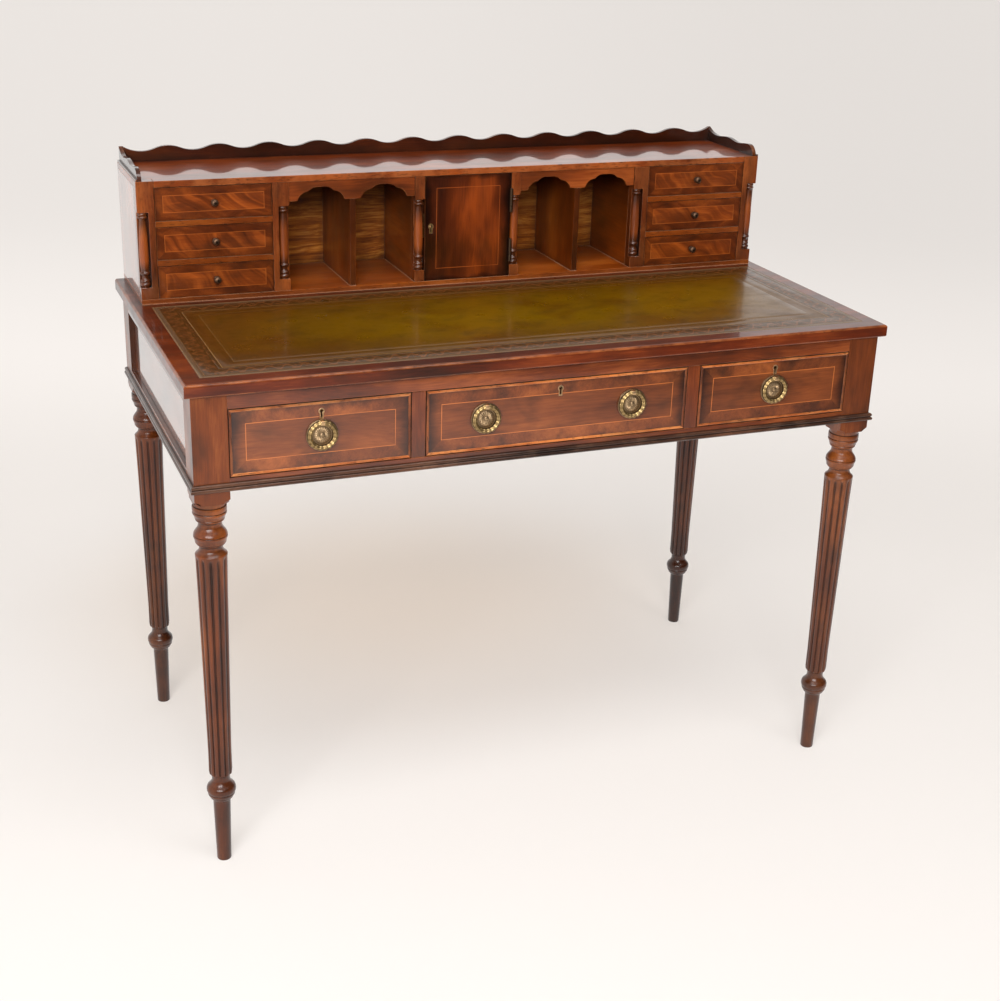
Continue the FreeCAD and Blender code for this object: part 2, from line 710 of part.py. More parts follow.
def make_colonettes():
    """Six half columns, flat against the backs of the notches."""
    half = colonette()
    centres = (case_x - notch_width / 2, pigeon_x + notch_width / 2, (cupboard_x + narrow_post_x) / 2)
    columns = []
    for x in centres:
        columns += pair(half.translated(V(x, notch_back, 0)))
    return columns


# ---- gallery
def gallery_wave(start, end, peak_z, trough_z):
    """Edges of one full wave, crest to crest."""
    middle = (start + end) / 2
    crest_a = V(start.x, start.y, peak_z)
    crest_b = V(end.x, end.y, peak_z)
    trough = V(middle.x, middle.y, trough_z)
    return half_wave(crest_a, trough) + half_wave(crest_b, trough)


def make_gallery_back():
    """Scalloped board along the back of the cabinet top, rising to a point at each end."""
    reach = case_x - GALLERY_INSET - GALLERY_SIDE_THICKNESS
    y = back - GALLERY_BACK_INSET - GALLERY_THICKNESS
    peak = case_top + GALLERY_PEAK
    trough = case_top + GALLERY_TROUGH
    pitch = 2 * reach / (GALLERY_WAVES - 1 + 2 * GALLERY_END_WAVE)
    first = -pitch * (GALLERY_WAVES - 1) / 2
    edges = []
    for i in range(GALLERY_WAVES - 1):
        edges += gallery_wave(V(first + i * pitch, y, 0), V(first + (i + 1) * pitch, y, 0), peak, trough)
    dip = -first + pitch / 2
    for way in (1, -1):
        low = V(way * dip, y, trough)
        edges += half_wave(V(-way * first, y, peak), low)
        edges.append(arc_from(low, V(way * reach, y, peak)))
    corners = [V(-reach, y, peak), V(-reach, y, case_top), V(reach, y, case_top), V(reach, y, peak)]
    return slab(edges, corners, Y * GALLERY_THICKNESS)


def make_gallery_sides():
    """Scalloped side boards with a small bead along the foot of each."""
    outer = case_x - GALLERY_INSET
    x = outer - GALLERY_SIDE_THICKNESS
    y_end = back - GALLERY_BACK_INSET
    run = y_end - case_front
    crest_front = V(x, case_front + 0.13 * run, case_top + SIDE_PEAK)
    trough_front = V(x, case_front + 0.35 * run, case_top + SIDE_TROUGH)
    crest_back = V(x, case_front + 0.55 * run, case_top + SIDE_PEAK)
    trough_back = V(x, case_front + 0.78 * run, case_top + SIDE_TROUGH)
    peak = V(x, y_end, case_top + GALLERY_PEAK)
    nose = V(x, case_front + 2, case_top)
    edges = [arc_from(crest_front, nose)] + half_wave(crest_front, trough_front)
    edges += half_wave(crest_back, trough_front) + half_wave(crest_back, trough_back)
    edges.append(arc_from(trough_back, peak))
    board = slab(edges, [peak, V(x, y_end, case_top), nose], X * GALLERY_SIDE_THICKNESS)
    strip = box(outer, outer + GALLERY_BEAD, case_front, y_end, case_top, case_top + GALLERY_BEAD)
    return pair(board) + pair(strip)


# ---- drawers
def tails(x0, x1, z0, z1, root_y, tip_y, count):
    """Dovetails on the end of a board, narrow at the root and wide at the tip."""
    pitch = (z1 - z0) / count
    root = pitch * 0.28
    tip = root + abs(tip_y - root_y) / 5
    shapes = []
    for i in range(count):
        middle = z0 + pitch * (i + 0.5)
        corners = [V(x0, root_y, middle - root), V(x0, tip_y, middle - tip),
                   V(x0, tip_y, middle + tip), V(x0, root_y, middle + root)]
        face = Part.Face(Part.makePolygon(corners + corners[:1]))
        shapes.append(face.extrude(V(x1 - x0, 0, 0)))
    return shapes


def drawer_sides(x0, x1, y0, depth, z0, z1, stock):
    """The two sides of a drawer, with tails at both ends. y0 is the inner face of the front."""
    y1 = y0 + depth
    sides = []
    for a, b in ((x0, x0 + stock.side), (x1 - stock.side, x1)):
        board = box(a, b, y0, y1 - stock.back, z0, z1)
        front_tails = tails(a, b, z0, z1, y0, y0 - stock.front + stock.lap, stock.tails)
        back_tails = tails(a, b, z0 + stock.bottom_rise + stock.bottom, z1, y1 - stock.back, y1, stock.tails)
        sides.append(fused([board] + front_tails + back_tails))
    return sides


def drawer_bottom(x0, x1, y0, depth, z0, stock):
    """Bottom board, let into the sides and the front, running out under the back."""
    inset = stock.side - stock.groove
    return box(x0 + inset, x1 - inset, y0 - stock.groove, y0 + depth,
               z0 + stock.bottom_rise, z0 + stock.bottom_rise + stock.bottom)


def drawer_boards(x0, x1, y0, depth, z0, z1, stock):
    """Sides, back and bottom of a drawer, fitted to each other, as a list of solids."""
    bottom = drawer_bottom(x0, x1, y0, depth, z0, stock)
    whole = drawer_sides(x0, x1, y0, depth, z0, z1, stock)
    back_board = box(x0, x1, y0 + depth - stock.back, y0 + depth, z0 + stock.bottom_rise + stock.bottom, z1)
    return [cut(side, [bottom]) for side in whole] + [cut(back_board, whole), bottom]


def frieze_front_board(x0, x1):
    """Blank of a frieze drawer's front and the mitred cock bead in a rebate round its face."""
    z0, z1 = bay_floor + DRAWER_GAP, bay_top - DRAWER_GAP
    board = box(x0, x1, frieze_front, frieze_front + FRIEZE_STOCK.front, z0, z1)
    bead_back = frieze_front + FRIEZE_STOCK.lap - COCK_BEAD_TO_TAILS
    bead = mitred_frame(x0, x1, z0, z1, COCK_BEAD, frieze_front - COCK_BEAD_PROUD, bead_back)
    return cut(board, bead), bead


def lock_case(x):
    """Drawer lock case, flush with the front's back face and top edge, with a slot for the bolt."""
    y1 = frieze_front + FRIEZE_STOCK.front
    top = bay_top - DRAWER_GAP
    case = box(x - LOCK_WIDTH / 2, x + LOCK_WIDTH / 2, y1 - LOCK_THICKNESS, y1, top - LOCK_HEIGHT, top)
    slot_foot = top - BOLT_SETBACK - BOLT_LENGTH - BOLT_GAP
    slot = bolt_space(x, slot_foot, top, BOLT_GAP)
    key = keyhole(x, keyhole_z, KEYHOLE_RADIUS, KEYHOLE_SLOT, KEYHOLE_DROP, y1 - LOCK_THICKNESS, bolt_y0())
    return case, cut(case, [slot, key])


def bolt_y0():
    """Front face of the drawer lock's bolt, which sits in the middle of the case."""
    return frieze_front + FRIEZE_STOCK.front - (LOCK_THICKNESS + BOLT_THICKNESS) / 2


def bolt_space(x, z0, z1, gap):
    """The bolt's section with a gap on each side, between two heights."""
    y0 = bolt_y0()
    half = BOLT_WIDTH / 2 + gap
    return box(x - half, x + half, y0 - gap, y0 + BOLT_THICKNESS + gap, z0, z1)


def lock_bolt(x):
    """Lock bolt at rest, drawn back just below the front's top edge."""
    top = bay_top - DRAWER_GAP - BOLT_SETBACK
    return bolt_space(x, top - BOLT_LENGTH, top, 0)


def bolt_mortise(x):
    """The hole in the top rail that the thrown bolt enters."""
    return bolt_space(x, bay_top, bay_top + BOLT_TRAVEL, MORTISE_GAP)


def escutcheon(x, z, y0):
    """Brass keyhole lining set in from a face, and the blank that its seat is cut to."""
    blank = keyhole(x, z, ESCUTCHEON_RADIUS, ESCUTCHEON_FOOT, ESCUTCHEON_DROP, y0, y0 + ESCUTCHEON_DEPTH)
    hole = keyhole(x, z, KEYHOLE_RADIUS, KEYHOLE_SLOT, KEYHOLE_DROP, y0, y0 + ESCUTCHEON_DEPTH)
    return blank, cut(blank, [hole])


def turned_along_y(steps, start, x, y, z):
    """Turned solid whose axis points to the front, from (radius, reach) steps."""
    shape = turned(steps, start)
    return shape.rotated(V(0, 0, 0), X, 90).translated(V(x, y, z))


def back_plate(x):
    """Handle plate: dished round plate with a boss, a knuckle for the ring and a threaded post."""
    rim = plate_radius - PLATE_RIM
    length = FRIEZE_STOCK.front + NUT_THICKNESS + 1
    steps = [
        [(boss_radius * 0.55, BOSS_HEIGHT * 0.85), (boss_radius, PLATE_THICKNESS)],
        [(rim - 0.2, PLATE_THICKNESS)], [(rim, PLATE_RIM_HEIGHT)],
        [(plate_radius - 0.3, PLATE_RIM_HEIGHT)], [(plate_radius, 0)],
        [(POST_RADIUS, 0)], [(POST_RADIUS, -length)], [(0, -length)],
    ]
    plate = turned_along_y(steps, BOSS_HEIGHT, x, frieze_front, handle_z)
    half = KNUCKLE_WIDTH / 2
    knuckle = rod(V(x - half, ring_pivot_y, ring_pivot_z), X, KNUCKLE_RADIUS, KNUCKLE_WIDTH)
    neck = box(x - half, x + half, ring_pivot_y, frieze_front - PLATE_THICKNESS / 2,
               ring_pivot_z - KNUCKLE_RADIUS, ring_pivot_z + KNUCKLE_RADIUS)
    bore = rod(V(x - half, ring_pivot_y, ring_pivot_z), X, RING_PIN + RING_RUNNING_GAP, KNUCKLE_WIDTH)
    return cut(fused([plate, knuckle, neck]), [bore])


def handle_nut(x):
    """Square nut on the post, inside the drawer."""
    y0 = frieze_front + FRIEZE_STOCK.front
    half = NUT_ACROSS / 2
    nut = box(x - half, x + half, y0, y0 + NUT_THICKNESS, handle_z - half, handle_z + half)
    return cut(nut, [rod(V(x, y0, handle_z), Y, POST_RADIUS, NUT_THICKNESS)])


def make_ring(x):
    """Ring of the handle: a round bar open at the knuckle, closed there by a straight pin."""
    hoop = Part.makeTorus(RING_RADIUS, RING_TUBE, V(x, ring_pivot_y, handle_z), Y)
    half = KNUCKLE_WIDTH / 2 + KNUCKLE_SIDE_GAP
    gap = box(x - half, x + half, ring_pivot_y - RING_TUBE * 2, ring_pivot_y + RING_TUBE * 2,
              handle_z + RING_RADIUS / 2, ring_pivot_z + RING_TUBE * 2)
    pin = rod(V(x - half - 2, ring_pivot_y, ring_pivot_z), X, RING_PIN, 2 * half + 4)
    return fused([cut(hoop, [gap]), pin])


def frieze_drawer(name, x0, x1, handles):
    """All nodes of one frieze drawer, by name, and the mortise its bolt needs."""
    stock = FRIEZE_STOCK
    a, b = x0 + DRAWER_GAP, x1 - DRAWER_GAP
    centre = (x0 + x1) / 2
    inner = frieze_front + stock.front
    boards = drawer_boards(a, b, inner, board_front - ROOM_BEHIND_DRAWER - inner, bay_floor,
                           bay_top - DRAWER_GAP - stock.side_drop, stock)
    blank, bead = frieze_front_board(a, b)
    case_blank, case = lock_case(centre)
    lining_blank, lining = escutcheon(centre, keyhole_z, frieze_front)
    key = keyhole(centre, keyhole_z, KEYHOLE_RADIUS, KEYHOLE_SLOT, KEYHOLE_DROP, frieze_front, inner)
    plates = [back_plate(x) for x in handles]
    posts = [rod(V(x, frieze_front, handle_z), Y, POST_RADIUS, stock.front) for x in handles]
    board = cut(blank, boards + [case_blank, lining_blank, key] + posts)
    brass = plates + [handle_nut(x) for x in handles] + [case, lining]
    return {
        f"drawer_front_{name}": [board] + bead,
        f"drawer_box_{name}": boards,
        f"drawer_brass_{name}": brass,
        f"lock_bolt_{name}": [lock_bolt(centre)],
    }


def make_knob(x, z):
    """Turned brass knob on a shank that passes through the drawer front."""
    neck = KNOB_RADIUS * 0.45
    steps = [
        [(KNOB_RADIUS * 0.8, KNOB_REACH - 1.4), (KNOB_RADIUS, KNOB_REACH - 4)],
        [(KNOB_RADIUS * 0.85, KNOB_REACH - 6.4), (neck, KNOB_REACH - 7.4)],
        [(neck, 1.6)], [(KNOB_RADIUS * 0.85, 1.2)], [(KNOB_RADIUS * 0.85, 0)],
        [(KNOB_SHANK, 0)], [(KNOB_SHANK, -SMALL_STOCK.front)], [(0, -SMALL_STOCK.front)],
    ]
    return turned_along_y(steps, KNOB_REACH, x, small_front, z)


def small_drawer(x0, x1, floor):
    """Boards of one small drawer and its knob."""
    stock = SMALL_STOCK
    a, b = x0 + SMALL_DRAWER_GAP, x1 - SMALL_DRAWER_GAP
    inner = small_front + stock.front
    top = floor + row_height
    boards = drawer_boards(a, b, inner, case_back - ROOM_BEHIND_SMALL_DRAWER - inner, floor,
                           top - SMALL_DRAWER_GAP - stock.side_drop, stock)
    face = box(a, b, small_front, inner, floor + SMALL_DRAWER_GAP, top - SMALL_DRAWER_GAP)
    x, z = (x0 + x1) / 2, floor + row_height / 2
    hole = rod(V(x, small_front, z), Y, KNOB_SHANK, stock.front)
    return [cut(face, boards + [hole])] + boards, [make_knob(x, z)]


def make_small_drawers():
    """Three small drawers on each side, numbered from the top."""
    nodes = {}
    for side, x0, x1 in (("left", -outer_post_x, -inner_post_x), ("right", inner_post_x, outer_post_x)):
        for row in range(DRAWER_ROWS):
            place = f"{side}_{DRAWER_ROWS - row}"
            boards, knob = small_drawer(x0, x1, case_floor + row * row_pitch)
            nodes[f"small_drawer_{place}"] = boards
            nodes[f"knob_{place}"] = knob
    return nodes


# ---- cupboard door
def hinge_knuckles(foot, ends):
    """Knuckles of one leaf about the pin: the two outer ones, or the middle one."""
    third = HINGE_LENGTH / 3
    gap = KNUCKLE_GAP / 2
    spans = ((0, third - gap), (2 * third + gap, HINGE_LENGTH)) if ends else ((third + gap, 2 * third - gap),)
    return [(foot + a, foot + b) for a, b in spans]


def hinge_leaf(foot, on_post):
    """One leaf with its knuckles, its screws, and the seat cut for it in the wood."""
    centre = V(hinge_axis_x, hinge_axis_y, 0)
    gap = KNUCKLE_GAP / 2
    way = 1 if on_post else -1
    x0, x1 = hinge_axis_x + way * gap, hinge_axis_x + way * (gap + HINGE_LEAF)
    y1 = hinge_leaf_back
    plate = box(x0, x1, hinge_axis_y, y1, foot, foot + HINGE_LENGTH)
    own = [rod(centre + Z * a, Z, HINGE_KNUCKLE, b - a) for a, b in hinge_knuckles(foot, on_post)]
    others = [rod(centre + Z * (a - gap), Z, HINGE_KNUCKLE + KNUCKLE_GAP, b - a + 2 * gap)
              for a, b in hinge_knuckles(foot, not on_post)]
    bore = rod(centre + Z * foot, Z, HINGE_PIN + HINGE_RUNNING_GAP, HINGE_LENGTH)
    screws = [countersunk(V(x0, (notch_back + y1) / 2, foot + HINGE_LENGTH * share), X * way)
              for share in (0.22, 0.78)]
    blank = fused([cut(plate, others)] + own)
    leaf = cut(blank, [bore] + screws)
    seat = box(x0, x1, door_front, y1, foot, foot + HINGE_LENGTH)
    return leaf, screws, seat


def hinge_pin(foot):
    """Pin through the knuckles of one hinge."""
    return rod(V(hinge_axis_x, hinge_axis_y, foot), Z, HINGE_PIN, HINGE_LENGTH)


def door_lock():
    """Cupboard lock: case blank, finished case, bolt, and the mortise in the post."""
    z0 = door_keyhole_z - DOOR_LOCK_HEIGHT / 2
    case = box(-door_x, -door_x + DOOR_LOCK_WIDTH, door_back - DOOR_LOCK_THICKNESS, door_back,
               z0, z0 + DOOR_LOCK_HEIGHT)
    y0 = door_back - (DOOR_LOCK_THICKNESS + DOOR_BOLT_THICKNESS) / 2
    y1 = y0 + DOOR_BOLT_THICKNESS
    za = door_keyhole_z - DOOR_BOLT_WIDTH / 2
    zb = za + DOOR_BOLT_WIDTH
    x0 = -door_x + BOLT_GAP
    length = DOOR_LOCK_WIDTH * 0.6
    bolt = box(x0, x0 + length, y0, y1, za, zb)
    slot = box(-door_x, x0 + length + BOLT_GAP, y0 - BOLT_GAP, y1 + BOLT_GAP, za - BOLT_GAP, zb + BOLT_GAP)
    key = keyhole(-door_x + DOOR_KEYHOLE_IN, door_keyhole_z, KEYHOLE_RADIUS, KEYHOLE_SLOT, KEYHOLE_DROP,
                  door_back - DOOR_LOCK_THICKNESS, y0)
    mortise = box(-cupboard_x, -cupboard_x - DOOR_BOLT_TRAVEL, y0 - MORTISE_GAP, y1 + MORTISE_GAP,
                  za - MORTISE_GAP, zb + MORTISE_GAP)
    return case, cut(case, [slot, key]), bolt, mortise


def make_door():
    """Cupboard door with its brass, its bolt, the fixed hinge leaves and the cuts in the posts."""
    case_blank, case, bolt, mortise = door_lock()
    x = -door_x + DOOR_KEYHOLE_IN
    lining_blank, lining = escutcheon(x, door_keyhole_z, door_front)
    key = keyhole(x, door_keyhole_z, KEYHOLE_RADIUS, KEYHOLE_SLOT, KEYHOLE_DROP, door_front,
                  door_back - DOOR_LOCK_THICKNESS)
    cuts = [case_blank, lining_blank, key]
    brass = [case, lining]
    fixed = []
    post_screws = []
    for foot in hinge_feet:
        leaf, screws, seat = hinge_leaf(foot, False)
        brass += [leaf] + screws
        gap_strip = box(hinge_axis_x - KNUCKLE_GAP / 2, door_x, door_front, hinge_leaf_back,
                        foot, foot + HINGE_LENGTH)
        cuts += [seat, gap_strip] + screws
        leaf, screws, _ = hinge_leaf(foot, True)
        fixed += [leaf, hinge_pin(foot)] + screws
        post_screws += screws
    panel = cut(box(-door_x, door_x, door_front, door_back, door_foot, door_head), cuts)
    nodes = {"door_panel": [panel], "door_brass": brass, "door_bolt": [bolt], "post_hinges": fixed}
    return nodes, mortise, post_screws


def build():
    """Every node of the desk: name to list of solids."""
    middle_handles = (-MIDDLE_HANDLE_X, MIDDLE_HANDLE_X)
    bays = (("left", -post_x, -side_bay_x, (-side_drawer_centre,)),
            ("middle", -bay_x, bay_x, middle_handles),
            ("right", side_bay_x, post_x, (side_drawer_centre,)))
    nodes = {}
    for name, x0, x1, handles in bays:
        nodes.update(frieze_drawer(name, x0, x1, handles))
    rings = {"left": -side_drawer_centre, "middle_left": -MIDDLE_HANDLE_X,
             "middle_right": MIDDLE_HANDLE_X, "right": side_drawer_centre}
    nodes.update({f"ring_{name}": [make_ring(x)] for name, x in rings.items()})
    mortises = [bolt_mortise((x0 + x1) / 2) for _, x0, x1, _ in bays]
    uprights = make_uprights()
    top_rail = cut(front_rail(bay_top, underside), uprights + mortises)
    bottom_rail = cut(front_rail(frieze_foot, bay_floor), uprights)
    panels = make_side_panels()
    side_rails = make_side_rails(panels)
    frieze_board = make_frieze_back()
    nodes.update(make_legs([top_rail, bottom_rail, frieze_board] + side_rails + panels))
    leather = make_leather()
    door_nodes, door_mortise, hinge_screws = make_door()
    valances = make_valances()
    nodes.update(door_nodes)
    nodes.update(make_small_drawers())
    nodes.update({
        "front_top_rail": [top_rail],
        "front_bottom_rail": [bottom_rail],
        "drawer_uprights": uprights,
        "side_rails": side_rails,
        "side_panels": panels,
        "frieze_back": [frieze_board],
        "bead_moulding": make_bead_moulding(),
        "drawer_runners": make_drawer_runners(),
        "glue_blocks": make_glue_blocks(),
        "desk_top": [make_desk_top(leather)],
        "leather_skiver": [leather],
        "cabinet_sides": make_cabinet_sides(),
        "cabinet_bottom": [box(-case_x, case_x, case_front, back, DESK_HEIGHT, case_floor)],
        "cabinet_top": [make_cabinet_top()],
        "cabinet_back": [box(-case_inner_x, case_inner_x, case_back, back, case_floor, case_ceiling)],
        "gallery_back": [make_gallery_back()],
        "gallery_sides": make_gallery_sides(),
        "corner_posts": make_corner_posts(),
        "inner_posts": make_inner_posts(door_mortise, hinge_screws),
        "partitions": make_partitions(),
        "pigeonhole_dividers": make_dividers(valances),
        "valances": valances,
        "colonettes": make_colonettes(),
        "dust_boards": make_dust_boards(),
    })
    return nodes


os.makedirs("parts", exist_ok=True)
for node_name, solids in build().items():
    shape = Part.makeCompound(solids) if len(solids) > 1 else solids[0]
    shape.exportStep(os.path.join("parts", f"{node_name}.step"))
    print(node_name, len(solids), round(shape.Volume, 1), shape.isValid())
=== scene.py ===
"""Bonheur du jour: a mahogany writing desk on reeded legs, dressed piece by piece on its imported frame.

Metres. +Z is up and the front faces -Y.
"""
import logging
import math
from dataclasses import dataclass, replace
from enum import Enum
from typing import Any, Iterable, Sequence

import bmesh
import bpy
import numpy as np
from mathutils import Matrix, Vector


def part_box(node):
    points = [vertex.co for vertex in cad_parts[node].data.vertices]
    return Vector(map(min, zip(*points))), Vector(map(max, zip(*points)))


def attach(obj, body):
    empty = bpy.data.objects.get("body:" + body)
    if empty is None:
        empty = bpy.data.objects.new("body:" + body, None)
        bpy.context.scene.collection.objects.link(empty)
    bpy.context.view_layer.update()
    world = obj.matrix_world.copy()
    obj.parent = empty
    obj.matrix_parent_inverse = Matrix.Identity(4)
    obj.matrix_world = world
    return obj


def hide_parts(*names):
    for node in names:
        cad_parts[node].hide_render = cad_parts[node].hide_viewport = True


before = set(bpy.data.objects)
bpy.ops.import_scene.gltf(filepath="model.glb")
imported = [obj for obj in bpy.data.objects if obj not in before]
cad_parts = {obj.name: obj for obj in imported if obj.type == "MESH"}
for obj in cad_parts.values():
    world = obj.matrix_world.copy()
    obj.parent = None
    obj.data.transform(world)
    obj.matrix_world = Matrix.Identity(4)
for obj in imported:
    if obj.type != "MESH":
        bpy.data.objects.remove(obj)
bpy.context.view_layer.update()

LOG = logging.getLogger("desk")
MM = 0.001
SLACK = 0.1 * MM  # points this close to a face of their board count as on it
MOULDED = 0.7  # rub of a face that leans, as on a moulding
GRAIN_SEED = 41
Colour = tuple[float, float, float]
Profile = list[tuple[float, float]]
Face = tuple[int, ...]
Socket = bpy.types.NodeSocket
rng = np.random.default_rng(GRAIN_SEED)


def shade(red: int, green: int, blue: int) -> Colour:
    """Linear colour of a screen colour given as 0 to 255."""
    return tuple(((c / 255 + 0.055) / 1.055) ** 2.4 if c > 10 else c / 255 / 12.92 for c in (red, green, blue))


class Axis(Enum):
    """Direction that the grain of a board runs in."""

    X = 0
    Y = 1
    Z = 2


class Figure(Enum):
    """How the grain of a wood shows."""

    STRAIGHT = "straight"
    FLAME = "flame"
    CLOUDED = "clouded"
    PLAIN = "plain"


class Layer(Enum):
    """Which of its piece's finishes a face takes: the first, or the second on what is laid on it."""

    SOLID = 0
    FACING = 1


# ---------------------------------------------------------------- node trees
class NodeTree:
    """Node tree under construction."""

    def __init__(self, tree: bpy.types.NodeTree) -> None:
        """Starts with the given tree, emptied."""
        self.tree = tree
        self.tree.nodes.clear()

    def node(self, kind: str, inputs: dict[Any, Any] | None = None, **settings: Any) -> bpy.types.Node:
        """Adds a node.

        Args:
            kind: its type name.
            inputs: socket name or index to a value or to a socket that feeds it.
            settings: its own properties.

        Returns:
            The node.
        """
        made = self.tree.nodes.new(kind)
        for key, value in settings.items():
            setattr(made, key, value)
        for key, value in (inputs or {}).items():
            self.feed(made.inputs[key], value)
        return made

    def feed(self, socket: Socket, value: Any) -> None:
        """Links or sets an input.

        Args:
            socket: the input.
            value: a socket or a plain value.
        """
        if isinstance(value, bpy.types.NodeSocket):
            self.tree.links.new(value, socket)
        elif socket.type == "RGBA" and len(value) == 3:
            socket.default_value = (*value, 1.0)
        else:
            socket.default_value = value

    def math(self, operation: str, *values: Any, clamp: bool = False) -> Socket:
        """Result of a Math node on one to three values, kept within 0 to 1 if it is clamped."""
        return self.node("ShaderNodeMath", dict(enumerate(values)), operation=operation, use_clamp=clamp).outputs[0]

    def times(self, first: Any, second: Any, clamp: bool = False) -> Socket:
        """Product of two values."""
        return self.math("MULTIPLY", first, second, clamp=clamp)

    def vector(self, operation: str, *values: Any) -> Socket:
        """Vector result of a Vector Math node on one to three values."""
        return self.node("ShaderNodeVectorMath", dict(enumerate(values)), operation=operation).outputs[0]

    def parts(self, vector: Socket) -> list[Socket]:
        """X, Y and Z of a vector."""
        return list(self.node("ShaderNodeSeparateXYZ", {0: vector}).outputs)

    def joined(self, x: Any, y: Any, z: Any) -> Socket:
        """Vector of three numbers."""
        return self.node("ShaderNodeCombineXYZ", {0: x, 1: y, 2: z}).outputs[0]


class Shader(NodeTree):
    """Shader tree of one material."""

    def __init__(self, name: str) -> None:
        """Makes the material.

        Args:
            name: its name.
        """
        self.material = bpy.data.materials.new(name)
        self.material.use_nodes = True
        super().__init__(self.material.node_tree)

    def attribute(self, name: str, output: str = "Fac") -> Socket:
        """Value that the mesh carries under a name."""
        return self.node("ShaderNodeAttribute", attribute_name=name).outputs[output]

    def noise(self, place: Socket, scale: Sequence[float], detail: float = 3.0, rough: float = 0.55,
              twist: float = 0.0) -> Socket:
        """Noise, with its own scale along each axis.

        Args:
            place: where it is read.
            scale: waves to the metre along x, y and z.
            detail: octaves.
            rough: weight of the finer octaves.
            twist: distortion.

        Returns:
            The factor's socket.
        """
        inputs = {"Vector": self.vector("MULTIPLY", place, tuple(scale)), "Scale": 1.0, "Detail": detail,
                  "Roughness": rough, "Distortion": twist}
        return self.node("ShaderNodeTexNoise", inputs).outputs[0]

    def away_from(self, value: Socket, middle: Any) -> Socket:
        """Distance of a value from a middle, either way."""
        return self.math("ABSOLUTE", self.math("SUBTRACT", value, middle))

    def open_air(self, reach: float) -> Socket:
        """How open a place is, from 0 in a tight corner to 1 where no wall is within reach."""
        return self.node("ShaderNodeAmbientOcclusion", {"Distance": reach}, samples=6).outputs["AO"]

    def margins(self) -> tuple[Socket, Socket]:
        """Distances to the panel's nearest upright edge and to its nearest level edge.

        Returns:
            The two distances.
        """
        place = self.parts(self.vector("ABSOLUTE", self.attribute("panel", "Vector")))
        reach = self.parts(self.attribute("reach", "Vector"))
        return self.math("SUBTRACT", reach[0], place[0]), self.math("SUBTRACT", reach[1], place[1])

    def object_place(self) -> Socket:
        """Place in metres, in the frame that every piece shares."""
        return self.node("ShaderNodeTexCoord").outputs["Object"]

    def rise(self, value: Any, low: Any, high: Any, bottom: float = 0.0, top: float = 1.0) -> Socket:
        """Smooth step from bottom to top as a value goes from low to high."""
        inputs = {"Value": value, "From Min": low, "From Max": high, "To Min": bottom, "To Max": top}
        return self.node("ShaderNodeMapRange", inputs, interpolation_type="SMOOTHSTEP").outputs[0]

    def ramp(self, value: Socket, stops: Sequence[tuple[float, Colour]]) -> Socket:
        """Colour read from a row of stops.

        Args:
            value: 0 to 1.
            stops: places and colours.

        Returns:
            The colour's socket.
        """
        made = self.node("ShaderNodeValToRGB", {0: value})
        elements = made.color_ramp.elements
        while len(elements) < len(stops):
            elements.new(0.5)
        for element, (place, colour) in zip(elements, stops):
            element.position = place
            element.color = (*colour, 1.0)
        return made.outputs[0]

    def mix(self, share: Any, first: Any, second: Any) -> Socket:
        """Colour mix, from the first to the second as share goes from 0 to 1."""
        return self.node("ShaderNodeMix", {0: share, 6: first, 7: second}, data_type="RGBA").outputs[2]

    def blend(self, share: Any, first: Any, second: Any) -> Socket:
        """Number mix, from the first to the second as share goes from 0 to 1."""
        return self.node("ShaderNodeMix", {0: share, 2: first, 3: second}, data_type="FLOAT").outputs[0]

    def bump(self, height: Socket, distance: float, strength: float) -> Socket:
        """Normal raised by a height of 0 to 1, which is a distance in metres at 1."""
        inputs = {"Height": height, "Distance": distance, "Strength": strength}
        return self.node("ShaderNodeBump", inputs).outputs[0]

    def surface(self, inputs: dict[str, Any]) -> bpy.types.Material:
        """Ends the tree in a Principled shader.

        Args:
            inputs: the shader's sockets and what they take.

        Returns:
            The material.
        """
        shader = self.node("ShaderNodeBsdfPrincipled", inputs)
        self.node("ShaderNodeOutputMaterial", {"Surface": shader.outputs[0]})
        return self.material


